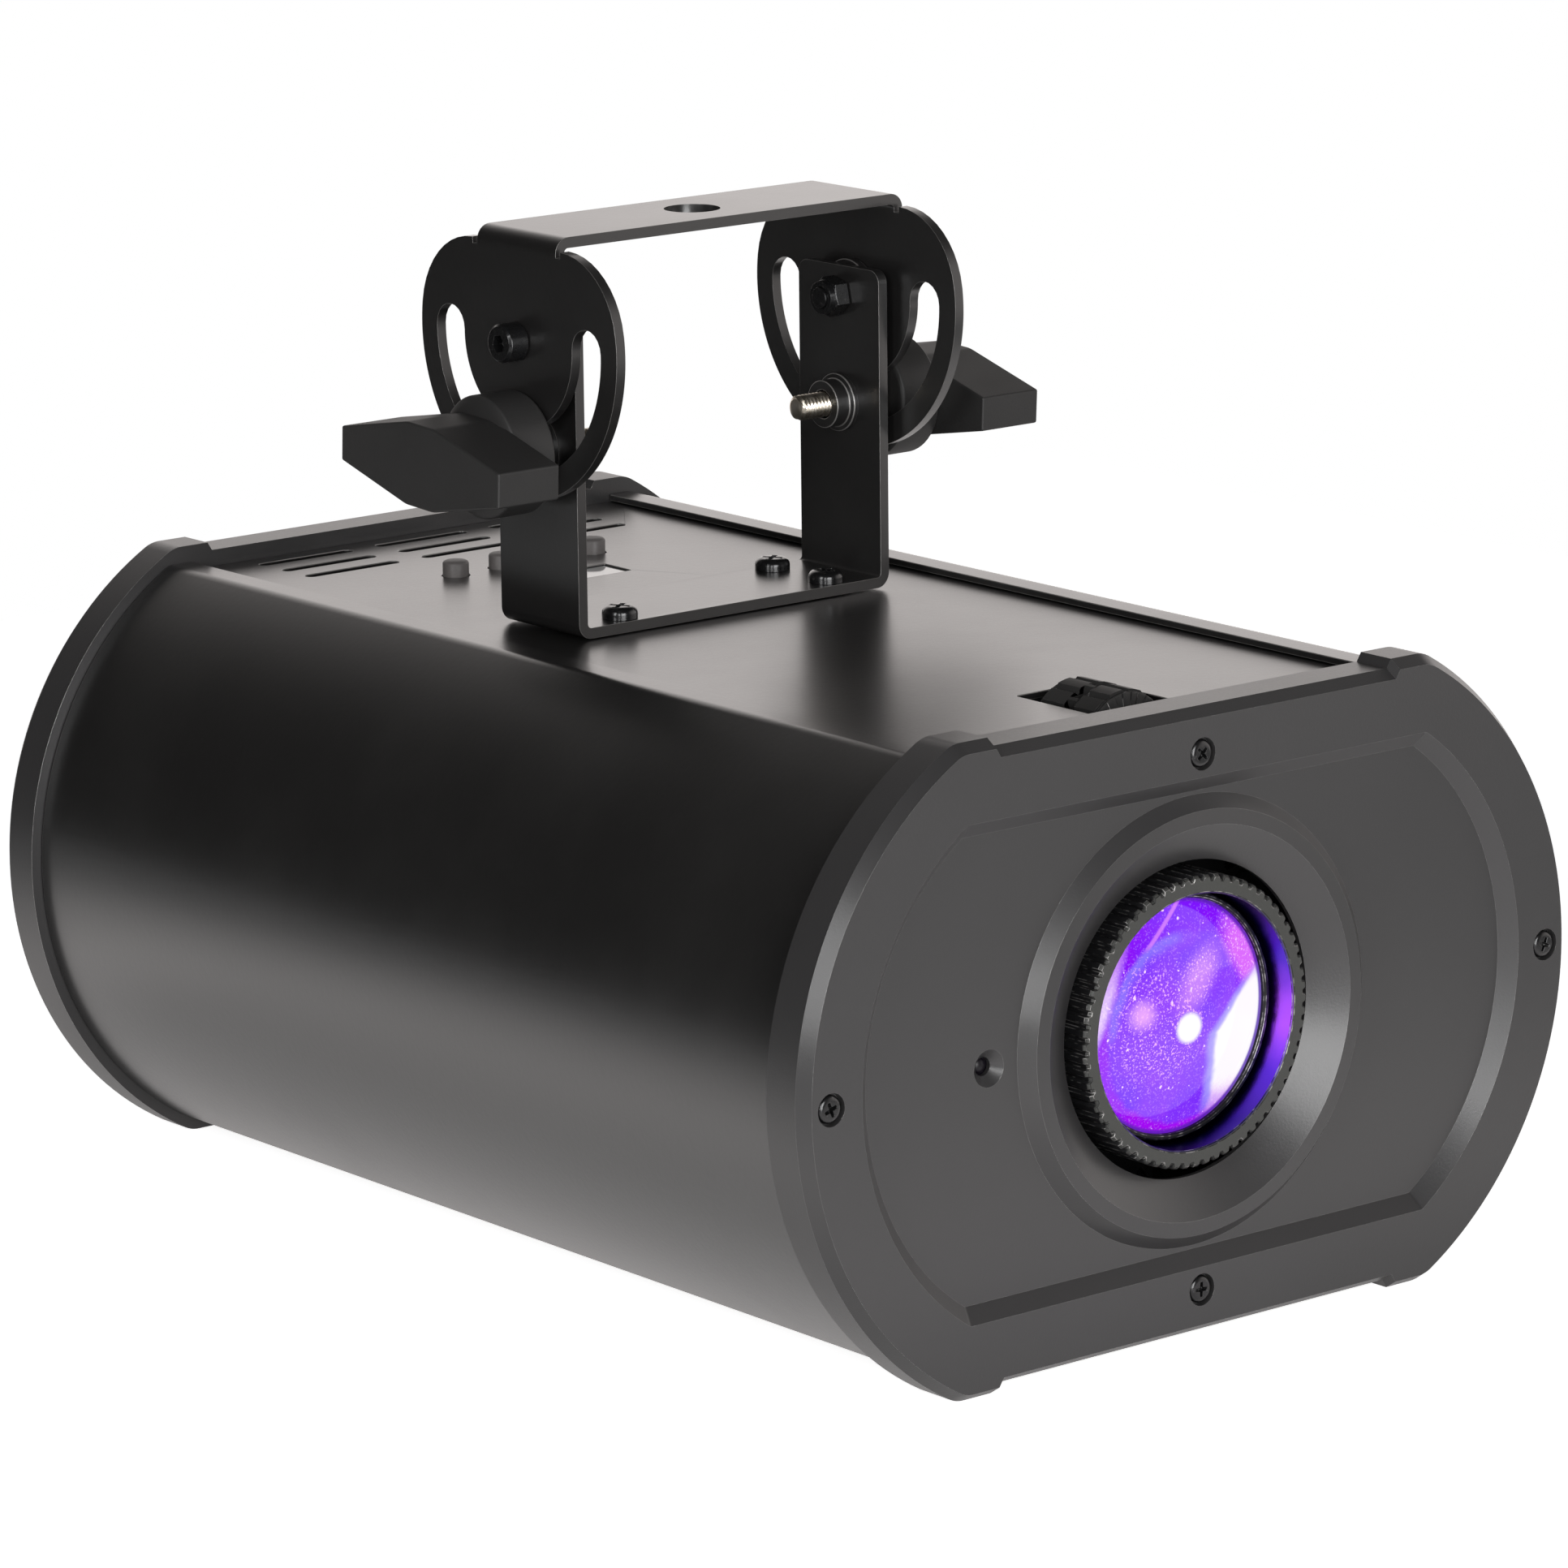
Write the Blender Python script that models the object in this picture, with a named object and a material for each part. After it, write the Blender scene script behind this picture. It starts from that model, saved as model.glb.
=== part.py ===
# Water-effect stage light: two moulded bezels close a folded housing that hangs on a slotted bracket.
# A thumb wheel turns the toothed focus ring, and helical grooves in the ring slide the lens behind it.
# Metres, +Z up. The lens looks along -Y, and the light stands on the pads of its bezels at z = 0.

from math import acos, atan2, cos, pi, radians, sin, sqrt, tan

import bmesh
import bpy
from mathutils import Matrix, Vector

# Clearances
seat_gap = 0.0003
running_gap = 0.0003
joint_depth = 0.0004

# Housing outline, seen from the front
body_length = 0.288
side_centre = 0.029
side_radius = 0.078
pad_half_height = 0.069
pad_rise = 0.0019
flat_half_height = pad_half_height - pad_rise
pad_width = 0.00843
pad_step_run = 0.0012
corner_fillet = 0.008
side_steps = 5
fillet_steps = 2
lens_height = pad_half_height


def corner_place(radius, half_height, fillet):
    """The centre of the round corner between a side arc and the flat top at half_height."""
    corner_v = half_height - fillet
    return side_centre + sqrt((radius - fillet) ** 2 - corner_v**2), corner_v


pad_inner_edge = corner_place(side_radius, pad_half_height, corner_fillet)[0] - pad_width

# Bezels and their screws
bezel_depth = 0.012
chamfer_depth = 0.0029
chamfer_width = 0.0019
rim_width = 0.012
front_wall = 0.003
screw_radius = 0.0015
screw_length = 0.009
screw_steps = 9
bezel_screw_head = 0.003
bezel_screw_rise = 0.0016
bezel_screw_edge = 0.0006
bezel_screw_crown = 0.0014
crown_share = 0.6
bezel_screw_inset = 0.007
screw_hole_wall = 0.0006
well_radius = 0.0035
well_depth = 0.002
bezel_screw_x = side_centre + side_radius - bezel_screw_inset
bezel_screw_z = flat_half_height - rim_width + screw_radius + running_gap + screw_hole_wall
recess_rim = 0.0015
recess_side_rim = 0.015
recess_radius = side_radius - recess_side_rim
recess_half_height = bezel_screw_z - well_radius - recess_rim
recess_fillet = 0.002
recess_slope = 0.0033
recess_depth = 0.003
rib_pocket_depth = 0.008
rib_pocket_length = 0.040
rib_pocket_x = 0.030
rib_pocket_outer_wall = 0.0025
rib_pocket_inner_wall = 0.003
rib_pocket_sweeps = ((-52, -34), (-30, -12), (12, 30), (34, 52))

# Lens surround in the front bezel
surround_margin = 0.0008
surround_flank = 0.0029
surround_lip_width = 0.0033
surround_lip_depth = 0.0002
funnel_slope = 0.0082
funnel_depth = 0.0049
surround_radius = recess_half_height - recess_slope - surround_margin
surround_lip_radius = surround_radius - surround_flank
funnel_mouth_radius = surround_lip_radius - surround_lip_width
funnel_throat_radius = funnel_mouth_radius - funnel_slope
sensor_x = -0.056
sensor_countersink = 0.004
sensor_hole_radius = 0.002
sensor_body = 0.008
sensor_body_depth = 0.003
sensor_dome = 0.001

# Sheet metal of the housing
sheet = 0.0015
shell_step_in = 0.0025
shell_roll = 0.005
shell_lip = 0.00535
lip_overlap = 0.004
panel_step_in = 0.0038
panel_height = flat_half_height - panel_step_in
shell_radius = side_radius - shell_step_in
lip_top = panel_height + seat_gap + sheet
shell_lip_edge = corner_place(shell_radius, lip_top, shell_roll)[0] - shell_lip
panel_half_width = shell_lip_edge + lip_overlap

# Vents in the panels
vent_width = 0.003
vent_web = 0.007
vent_side_margin = 0.015
vent_columns = 3
vent_pitch_x = 2 * (panel_half_width - vent_side_margin) / vent_columns
vent_length = vent_pitch_x - vent_web
vent_pitch_y = 0.009
vent_rows = 3
lower_vent_rows = 3

# Pivot bolts and clamp knobs
pivot_shank_radius = 0.0024
pivot_head_radius = 0.0043
pivot_head_length = 0.005
pivot_head_edge = 0.0004
pivot_nut_radius = 0.0046
pivot_nut_length = 0.005
pivot_end = 0.0025
stud_radius = 0.0029
stud_end = 0.0078
stud_chamfer = 0.0005
clamp_hole_gap = 0.0005
weld_nut_radius = 0.0062
weld_nut_length = 0.005
collar_radius = 0.0136
collar_length = 0.0115
collar_edge_width = 0.002
collar_edge_height = 0.001
grip_length = 0.0566
grip_tip_height = 0.0076
grip_middle_height = 0.0184
grip_thickness = 0.0155
grip_turn = radians(3)
grip_bevel = 0.001
grip_root = 0.0008
knob_bore_depth = 0.0105

# Lower yoke bracket and upper hanger bracket
bracket_width = 0.028
bracket_steel = 0.0024
bracket_bend = 0.0034
bend_steps = 3
yoke_half_width = 0.044
yoke_corner = 0.003
yoke_rim = 0.0069
spacer_radius = 0.008
spacer_rise = 0.002
yoke_screw_x = 0.0293
yoke_screw_y = 0.0095
yoke_screw_radius = 0.002
yoke_screw_head = 0.004
yoke_screw_head_height = 0.0028
yoke_screw_crown = 0.0026
yoke_screw_edge = 0.0013
yoke_screw_length = 0.007
slot_radius = 0.0242
slot_width = 0.010
slot_half_angle = radians(91)
disc_rim = 0.0056
disc_radius = slot_radius + slot_width / 2 + disc_rim
disc_shoulder = 0.0212
disc_fillet = 0.019
bar_over_shoulder = 0.0028
relief_width = 0.0016
relief_depth = 0.0008
clamp_hole_radius = 0.00625
knob_clearance = 0.0108
clamp_height = lip_top + knob_clearance + grip_length / 2
pivot_height = clamp_height + slot_radius
yoke_top = pivot_height + yoke_rim
hanger_top = pivot_height + disc_shoulder + bar_over_shoulder

# Focus gears: involute teeth, the ring and the thumb wheel in mesh
tooth_module = 0.0015
ring_teeth = 59
wheel_teeth = 14
pressure_angle = radians(20)
backlash = 0.00028
wheel_x = 0.0017
wheel_length = 0.0182
wheel_slot_lead = 0.0017
wheel_slot_tail = 0.0046
wheel_bore_radius = 0.0018
axle_radius = 0.0015
axle_end = 0.001
wheel_side_gap = 0.001
bracket_edge = 0.0045
gear_width = 0.004
wheel_slot_width = 0.022

# Focus ring and lens cell
ring_face = 0.0016
ring_rear = 0.050
grip_ridges = 34
ring_grip_radius = 0.031
ring_grip_groove = 0.0008
ring_bore_radius = 0.027
ring_tail_radius = 0.030
lens_face_vertex = 0.0029
lens_radius = 0.0253
lens_bulge = 0.0046
lens_edge = 0.003
lens_seat = 0.0078
retainer_inner_radius = 0.0246
retainer_thickness = 0.0019
cell_head_length = 0.0125
cell_tail_radius = 0.0242
cell_bore_radius = 0.0222
cam_radius = 0.0015
cam_root = 0.001
cam_count = 3
cam_clearance = 0.004
focus_travel = 0.010
focus_turn = radians(120)
groove_depth = 0.0016
groove_spare = radians(4)
groove_steps = 7
cutter_reach = 0.0012
lens_steps = 24
guide_wall = 0.0018
guide_lead = 0.005
guide_flange_radius = 0.034
guide_flange = 0.0015

# Plates that carry the optics
plate_side_gap = 0.0055
plate_side_radius = side_radius - plate_side_gap
plate_fillet = 0.004
light_path_radius = 0.019
cell_hole_gap = 0.0012
shaft_hole_gap = 0.002

# Ripple wheels, color wheel and their motors
wheel_wall_gap = 0.0035
light_cover = 0.014
wheel_reach = side_centre + plate_side_radius - wheel_wall_gap
ripple_wheel_radius = (wheel_reach + light_cover) / 2
ripple_wheel_x = wheel_reach - ripple_wheel_radius
ripple_wheel_glass = 0.003
ripple_bore_floor = 0.0015
hub_radius = 0.006
hub_length = 0.003
motor_length = 0.018
motor_shaft_radius = 0.0015
motor_gap = 0.0027
color_wheel_step_in = 0.002
color_wheel_shift = 0.001
color_wheel_radius = ripple_wheel_radius - color_wheel_step_in
color_wheel_x = ripple_wheel_x + color_wheel_shift
color_wheel_sheet = 0.0012
color_windows = 6
color_window_radius = 0.0095
color_shaft_end = 0.0005
filter_glass = 0.0011
filter_rim = 0.0008

# Lamp
condenser_radius = 0.020
condenser_edge = 0.002
condenser_thickness = 0.009
condenser_lip = 0.0005
condenser_holder_wall = 0.0025
condenser_holder_length = 0.028
motor_radius = color_wheel_x - condenser_radius - running_gap - condenser_holder_wall - motor_gap
lamp_board = 0.044
lamp_board_thickness = 0.0016
lamp_bracket_rim = 0.006
emitter_radius = 0.009
emitter_height = 0.0012
sink_width = 0.080
sink_height = 0.084
sink_base = 0.006
sink_fins = 12
sink_fin_thickness = 0.0018

# Fan
fan_from_side = 0.061
fan_x = side_centre + side_radius - fan_from_side
fan_size = 0.080
fan_corner = 0.004
fan_depth = 0.025
fan_bore_radius = 0.038
fan_bore_wall = 0.0015
fan_hub_radius = 0.017
rotor_gap = 0.001
rotor_edge = 0.001
fan_blades = 7
fan_tip_gap = 0.0015
blade_root_overlap = 0.002
blade_root_chord = 0.015
blade_tip_chord = 0.021
blade_root_pitch = radians(52)
blade_tip_pitch = radians(32)
blade_thickness = 0.0014
blade_steps = 2
spider_thickness = 0.003
spoke_width = 0.005

# Rear plate and its sockets
plate_ledge = 0.0073
plate_rim = 0.0095
opening_rim = 0.013
plate_half_height = flat_half_height - rim_width
opening_half_height = recess_half_height
grille_bars = 7
grille_slot = 0.006
grille_pitch = 0.0105
grille_rim = 0.001
inlet_x = -0.024
inlet_z = 0.020
inlet_width = 0.0305
inlet_height = 0.0235
inlet_corner = 0.002
inlet_body_inset = 0.002
inlet_body_corner = 0.0015
inlet_cavity = (0.0240, 0.0165)
inlet_cavity_slope = 0.00495
inlet_depth = 0.019
inlet_floor = 0.003
signal_from_side = 0.045
signal_x = signal_from_side - side_centre - side_radius
signal_z = 0.019
signal_flange = (0.026, 0.031)
signal_corner = 0.002
signal_radius = 0.0115
signal_depth = 0.022
signal_cavity_radius = 0.0096
signal_cavity_depths = (0.0125, 0.0015)
socket_flange = 0.002

# Controls under the top panel
button_pitch = 0.0131
button_radius = 0.003
button_edge = 0.0006
button_stands = 0.0035
button_flange_radius = 0.0037
button_flange = 0.001
button_stem_radius = 0.0015
button_travel = 0.0005
button_tail = 0.0035
switch_width = 0.006
display_width = 0.027
display_length = 0.010
display_border = 0.002
window_thickness = 0.0015
board_drop = 0.0085
board_thickness = 0.0016
board_width = 0.060
board_margin = 0.01325
standoff_radius = 0.0025
standoff_inset = 0.004

# Power supply
power_board_width = 0.090
power_board_length = 0.042
power_board_rise = 0.004
transformer_x = -0.002
transformer = (0.028, 0.026, 0.024)
choke_x = -0.032
choke = (0.016, 0.018, 0.016)
capacitor_places = (0.022, 0.036)
capacitor_radius = 0.006
capacitor_height = 0.022

# Depths behind the front face, each counted from its neighbour: first the controls, from the rear forward
vent_to_rear = 0.0183
buttons_to_vents = 0.0217
display_to_buttons = 0.0175
bracket_to_display = 0.046
vent_first_depth = body_length - vent_to_rear - (vent_rows - 1) * vent_pitch_y
button_depth = vent_first_depth - buttons_to_vents
display_depth = button_depth - display_to_buttons
bracket_depth = display_depth - bracket_to_display

# Then the focus mechanism and the optics, from the front to the lamp
gear_to_ring_rear = 0.018
wheel_lead = 0.0068
bulkhead_gap = 0.0043
cell_rear_gap = 0.0008
ripple_wheel_gap = 0.0029
ripple_wheel_pitch = 0.009
color_wheel_gap = 0.0041
effect_plate_gap = 0.0053
condenser_stand_off = 0.017
lamp_gap = 0.0019
lower_vent_gap = 0.0092
gear_front = ring_rear - gear_to_ring_rear
wheel_front = gear_front - wheel_lead
wheel_slot_front = wheel_front - wheel_slot_lead
wheel_slot_length = wheel_length + wheel_slot_lead + wheel_slot_tail
cam_depth = gear_front + cam_clearance
guide_front = cam_depth - guide_lead
front_bulkhead_depth = ring_rear + bulkhead_gap
cell_rear = front_bulkhead_depth - focus_travel - cell_rear_gap
ripple_motor_front = front_bulkhead_depth + sheet + seat_gap
ripple_wheel_first = ripple_motor_front + motor_length + ripple_wheel_gap + hub_length
ripple_wheel_depths = (ripple_wheel_first, ripple_wheel_first + ripple_wheel_pitch)
filter_depth = ripple_wheel_depths[1] + ripple_wheel_glass + color_wheel_gap
color_wheel_depth = filter_depth + filter_glass + seat_gap
effect_plate_depth = color_wheel_depth + color_wheel_sheet + effect_plate_gap
condenser_edge_depth = effect_plate_depth + condenser_stand_off
condenser_start = effect_plate_depth + sheet + seat_gap
emitter_depth = condenser_start + condenser_holder_length + lamp_gap
lamp_bracket_depth = emitter_depth + emitter_height + lamp_board_thickness + seat_gap
lower_vent_first_depth = lamp_bracket_depth + lower_vent_gap

# Last the fan, the power supply in front of it, and the heat sink in the room that is left
power_board_gap = 0.0101
sink_gap = 0.0089
fan_front_depth = body_length - plate_ledge - 2 * seat_gap - sheet - fan_depth
power_board_depth = fan_front_depth - power_board_gap - power_board_length / 2
sink_front = lamp_bracket_depth + sheet + seat_gap
sink_length = power_board_depth - power_board_length / 2 - sink_gap - sink_front


def remove_old_objects():
    for old in list(bpy.data.objects):
        bpy.data.objects.remove(old, do_unlink=True)


# Axes of a piece: a path's u and v, and the direction in which it is built up


def placed(origin, u_axis, v_axis, w_axis):
    """The matrix that takes u, v and a height w to the part's own axes."""
    matrix = Matrix((u_axis, v_axis, w_axis)).transposed().to_4x4()
    matrix.translation = Vector(origin)
    return matrix


def depth_to_y(depth):
    """A distance behind the front face as a Y coordinate."""
    return depth - body_length / 2


def facing_front(depth=0, x=0, z=0):
    """u right, v up, built up towards the rear, with z counted from the lens axis."""
    return placed((x, depth_to_y(depth), lens_height + z), (1, 0, 0), (0, 0, 1), (0, 1, 0))


def facing_rear(depth=0, x=0, z=0):
    """The same, built up from the rear face towards the front."""
    return placed((x, depth_to_y(body_length - depth), lens_height + z), (1, 0, 0), (0, 0, 1), (0, -1, 0))


def lying(z, x=0, depth=0):
    """u right, v towards the rear, built up along Z, with z counted from the lens axis."""
    return placed((x, depth_to_y(depth), lens_height + z), (1, 0, 0), (0, 1, 0), (0, 0, 1))


def sideways(x, side, depth=bracket_depth, z=0):
    """u towards the rear, v up, built up outward on the given side."""
    return placed((x, depth_to_y(depth), lens_height + z), (0, 1, 0), (0, 0, 1), (side, 0, 0))


# Flat paths


def arc(radius, start, end, steps, center_u=0, center_v=0):
    """Points on an arc, both ends included."""
    angles = [start + (end - start) * step / steps for step in range(steps + 1)]
    return [(center_u + radius * cos(angle), center_v + radius * sin(angle)) for angle in angles]


def circle(radius, steps, center_u=0, center_v=0):
    return arc(radius, 0, 2 * pi, steps, center_u, center_v)[:-1]


def rectangle(width, height, center_u=0, center_v=0, radius=0, steps=2):
    """A rectangle, with rounded corners where it has a radius."""
    corners = ((1, 1), (-1, 1), (-1, -1), (1, -1))
    if not radius:
        return [(center_u + a * width / 2, center_v + b * height / 2) for a, b in corners]
    points = []
    for number, (a, b) in enumerate(corners):
        start = number * pi / 2
        corner_u = center_u + a * (width / 2 - radius)
        corner_v = center_v + b * (height / 2 - radius)
        points += arc(radius, start, start + pi / 2, steps, corner_u, corner_v)
    return points


def slot(length, width, center_u=0, center_v=0, steps=2):
    """A slot with round ends, along u."""
    reach = (length - width) / 2
    right = arc(width / 2, -pi / 2, pi / 2, steps, center_u + reach, center_v)
    left = arc(width / 2, pi / 2, 3 * pi / 2, steps, center_u - reach, center_v)
    return right + left


def sector(inner, outer, start, end, steps):
    """A stretch of a ring."""
    return arc(outer, start, end, steps) + arc(inner, end, start, steps)


def mirrored_round(quarter):
    """A whole outline from its first quarter, which starts on the u axis."""
    half = quarter + [(-u, v) for u, v in reversed(quarter)]
    half = half[:-1]
    return half + [(-u, -v) for u, v in half]


def barrel_quarter(radius, half_height, fillet, steps=side_steps):
    """A side arc and the round corner that ends it, up to where the flat top starts."""
    corner_u, corner_v = corner_place(radius, half_height, fillet)
    turn = atan2(corner_v, corner_u - side_centre)
    side = arc(radius, 0, turn, steps, side_centre)
    return side + arc(fillet, turn, pi / 2, fillet_steps, corner_u, corner_v)[1:]


def barrel_path(radius, half_height, fillet, steps=side_steps):
    return mirrored_round(barrel_quarter(radius, half_height, fillet, steps))


def bezel_path(inset):
    """The bezels' outline, with the corner pads that stand prouder than the flats between them."""
    quarter = barrel_quarter(side_radius - inset, pad_half_height - inset, corner_fillet - inset / 2)
    quarter.append((pad_inner_edge + pad_step_run, pad_half_height - inset))
    quarter.append((pad_inner_edge, flat_half_height - inset))
    return mirrored_round(quarter)


def gear_path(teeth, tooth_at, mid_flank=True):
    """An involute gear's outline, with one tooth centred at the angle tooth_at."""
    pitch = teeth * tooth_module / 2
    base = pitch * cos(pressure_angle)
    tip = pitch + tooth_module
    root = pitch - 1.25 * tooth_module

    def half_width(radius):
        turn = acos(min(1, base / radius))
        gain = tan(pressure_angle) - pressure_angle - tan(turn) + turn
        return pi / (2 * teeth) - backlash / (4 * pitch) + gain

    flank = [root, max(root, base)] if base > root * 1.001 else [root]
    if mid_flank:
        flank.append((flank[-1] + tip) / 2)
    flank.append(tip)
    points = []
    for tooth in range(teeth):
        middle = tooth_at + 2 * pi * tooth / teeth
        rising = [(radius, middle - half_width(radius)) for radius in flank]
        falling = [(radius, middle + half_width(radius)) for radius in reversed(flank)]
        points += [(radius * cos(angle), radius * sin(angle)) for radius, angle in rising + falling]
    return points


def ridged_circle(radius, groove, count):
    """A circle of sharp ridges that give the fingers a hold."""
    points = []
    for number in range(2 * count):
        reach = radius - groove * (number % 2)
        angle = pi * number / count
        points.append((reach * cos(angle), reach * sin(angle)))
    return points


# Solids from paths


def loop(bm, path, height, place):
    return [bm.verts.new(place @ Vector((u, v, height))) for u, v in path]


def wall(bm, lower, upper, closed=True):
    """Faces between two loops of equal count. Left open, it skips the stretch from the last to the first."""
    count = len(lower)
    for here in range(count if closed else count - 1):
        there = (here + 1) % count
        bm.faces.new((lower[here], lower[there], upper[there], upper[here]))


def cap(bm, *loops):
    """One flat face with the first loop as its edge and the others as its holes."""
    edges = []
    for ring in loops:
        for start, end in zip(ring, ring[1:] + ring[:1]):
            edges.append(bm.edges.get((start, end)) or bm.edges.new((start, end)))
    bmesh.ops.triangle_fill(bm, use_beauty=True, use_dissolve=False, edges=edges)


def join(bm, lower, upper):
    """A wall between loops of equal count, and a flat ring between others."""
    if len(lower) == len(upper):
        wall(bm, lower, upper)
    else:
        cap(bm, lower, upper)


def skin(bm, place, sections, through=False):
    """A solid from loops at given heights, closed at its ends or, if through, back to its first loop."""
    rings = [loop(bm, path, height, place) for path, height in sections]
    for lower, upper in zip(rings, rings[1:]):
        join(bm, lower, upper)
    if through:
        join(bm, rings[-1], rings[0])
    else:
        bm.faces.new(rings[0])
        bm.faces.new(rings[-1])
    return rings


def plate(bm, place, thickness, outline, holes=()):
    """A flat sheet with holes through it."""
    faces = []
    for path in [outline, *holes]:
        lower = loop(bm, path, 0, place)
        upper = loop(bm, path, thickness, place)
        wall(bm, lower, upper)
        faces.append((lower, upper))
    cap(bm, *[lower for lower, upper in faces])
    cap(bm, *[upper for lower, upper in faces])


def turned(bm, place, profile, steps, ring=False):
    """A turned solid from radius and height pairs. A ring's profile closes on itself clear of the axis."""
    rows = []
    for radius, height in profile:
        path = circle(radius, steps) if radius else [(0, 0)]
        rows.append(loop(bm, path, height, place))
    pairs = list(zip(rows, rows[1:]))
    if ring:
        pairs.append((rows[-1], rows[0]))
    for lower, upper in pairs:
        if len(lower) == len(upper):
            wall(bm, lower, upper)
            continue
        tip, edge = (lower, upper) if len(lower) == 1 else (upper, lower)
        for start, end in zip(edge, edge[1:] + edge[:1]):
            bm.faces.new((tip[0], start, end))


def post(bm, place, radius, height, steps):
    """A plain round bar on its own axis."""
    turned(bm, place, ((0, 0), (radius, 0), (radius, height), (0, height)), steps)


def box(bm, low, high):
    """A block between two corners."""
    middle = [(a + b) / 2 for a, b in zip(low, high)]
    size = [b - a for a, b in zip(low, high)]
    matrix = Matrix.Translation(middle) @ Matrix.Diagonal((*size, 1))
    bmesh.ops.create_cube(bm, size=1, matrix=matrix)


def finish(name, color, roughness, metallic=0.0):
    material = bpy.data.materials.new(name)
    material.use_nodes = True
    shader = material.node_tree.nodes["Principled BSDF"]
    shader.inputs["Base Color"].default_value = (*color, 1)
    shader.inputs["Roughness"].default_value = roughness
    shader.inputs["Metallic"].default_value = metallic
    return material


def piece(name, bm, material, origin=(0, 0, 0), parent=None):
    """One named object whose origin lies where the piece is held or turns."""
    bmesh.ops.recalc_face_normals(bm, faces=bm.faces)
    bmesh.ops.translate(bm, verts=bm.verts, vec=-Vector(origin))
    mesh = bpy.data.meshes.new(name)
    bm.to_mesh(mesh)
    bm.free()
    mesh.shade_smooth()
    mesh.set_sharp_from_angle(angle=radians(30))
    made = bpy.data.objects.new(name, mesh)
    made.location = origin
    made.parent = parent
    bpy.context.scene.collection.objects.link(made)
    if material:
        made.data.materials.append(material)
    return made


def combine(target, other, operation):
    """Cut one solid from another, or join it on, and keep the second as a hidden guide."""
    modifier = target.modifiers.new(operation.title(), "BOOLEAN")
    modifier.operation = operation
    modifier.solver = "EXACT"
    modifier.object = other
    other.hide_render = True
    other.display_type = "WIRE"


# Bezels


def bezel_screw_places():
    return [(bezel_screw_x, 0), (0, bezel_screw_z), (-bezel_screw_x, 0), (0, -bezel_screw_z)]


def bezel_outside(bm, place):
    """The outer walls and the four screw wells. Returns the loops that bound the face and the back."""
    back = loop(bm, bezel_path(0), bezel_depth, place)
    edge = loop(bm, bezel_path(0), chamfer_depth, place)
    face = loop(bm, bezel_path(chamfer_width), 0, place)
    wall(bm, back, edge)
    wall(bm, edge, face)
    mouths = []
    ends = []
    for x, z in bezel_screw_places():
        rings = [
            loop(bm, circle(well_radius, 10, x, z), 0, place),
            loop(bm, circle(well_radius, 10, x, z), well_depth, place),
            loop(bm, circle(screw_radius + running_gap, 10, x, z), well_depth, place),
            loop(bm, circle(screw_radius + running_gap, 10, x, z), bezel_depth, place),
        ]
        for upper, lower in zip(rings, rings[1:]):
            wall(bm, upper, lower)
        mouths.append(rings[0])
        ends.append(rings[-1])
    return [face, *mouths], [back, *ends]


def rim_pockets(bm, place, floor):
    """Blind pockets between ribs in the back of the rim, as a moulding has them."""
    inner = side_radius - rim_width + rib_pocket_inner_wall
    outer = side_radius - rib_pocket_outer_wall
    mouths = []
    for side in (1, -1):
        for start, end in rib_pocket_sweeps:
            path = sector(inner, outer, radians(start), radians(end), 1)
            path = [(side * (side_centre + u), v) for u, v in path]
            mouth = loop(bm, path, bezel_depth, place)
            bottom = loop(bm, path, floor, place)
            wall(bm, mouth, bottom)
            bm.faces.new(bottom)
            mouths.append(mouth)
    height = rim_width - rib_pocket_inner_wall - rib_pocket_outer_wall
    middle = flat_half_height - rib_pocket_outer_wall - height / 2
    for x in (-rib_pocket_x, rib_pocket_x):
        for z in (-middle, middle):
            path = rectangle(rib_pocket_length, height, x, z)
            mouth = loop(bm, path, bezel_depth, place)
            bottom = loop(bm, path, floor, place)
            wall(bm, mouth, bottom)
            bm.faces.new(bottom)
            mouths.append(mouth)
    return mouths


def front_bezel(material):
    bm = bmesh.new()
    place = facing_front()
    back_depth = recess_depth + front_wall
    face_loops, back_loops = bezel_outside(bm, place)

    recess_edge = loop(bm, barrel_path(recess_radius, recess_half_height, recess_fillet), 0, place)
    foot_path = barrel_path(recess_radius - recess_slope, recess_half_height - recess_slope, recess_fillet)
    recess_foot = loop(bm, foot_path, recess_depth, place)
    wall(bm, recess_edge, recess_foot)
    cap(bm, *face_loops, recess_edge)

    surround = (
        (surround_radius, recess_depth),
        (surround_lip_radius, surround_lip_depth),
        (funnel_mouth_radius, 0),
        (funnel_throat_radius, funnel_depth),
        (funnel_throat_radius, back_depth),
    )
    rings = [loop(bm, circle(radius, 36), depth, place) for radius, depth in surround]
    sensor = (
        (sensor_countersink, recess_depth),
        (sensor_hole_radius, recess_depth + sensor_countersink - sensor_hole_radius),
        (sensor_hole_radius, back_depth),
    )
    holes = [loop(bm, circle(radius, 12, sensor_x), depth, place) for radius, depth in sensor]
    for chain in (rings, holes):
        for front, back in zip(chain, chain[1:]):
            wall(bm, front, back)
    cap(bm, recess_foot, rings[0], holes[0])

    cavity = barrel_path(side_radius - rim_width, flat_half_height - rim_width, recess_fillet)
    cavity_mouth = loop(bm, cavity, bezel_depth, place)
    cavity_floor = loop(bm, cavity, back_depth, place)
    wall(bm, cavity_mouth, cavity_floor)
    cap(bm, cavity_floor, rings[-1], holes[-1])
    pockets = rim_pockets(bm, place, bezel_depth - rib_pocket_depth)
    cap(bm, *back_loops, cavity_mouth, *pockets)
    return piece("front_bezel", bm, material)


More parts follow.
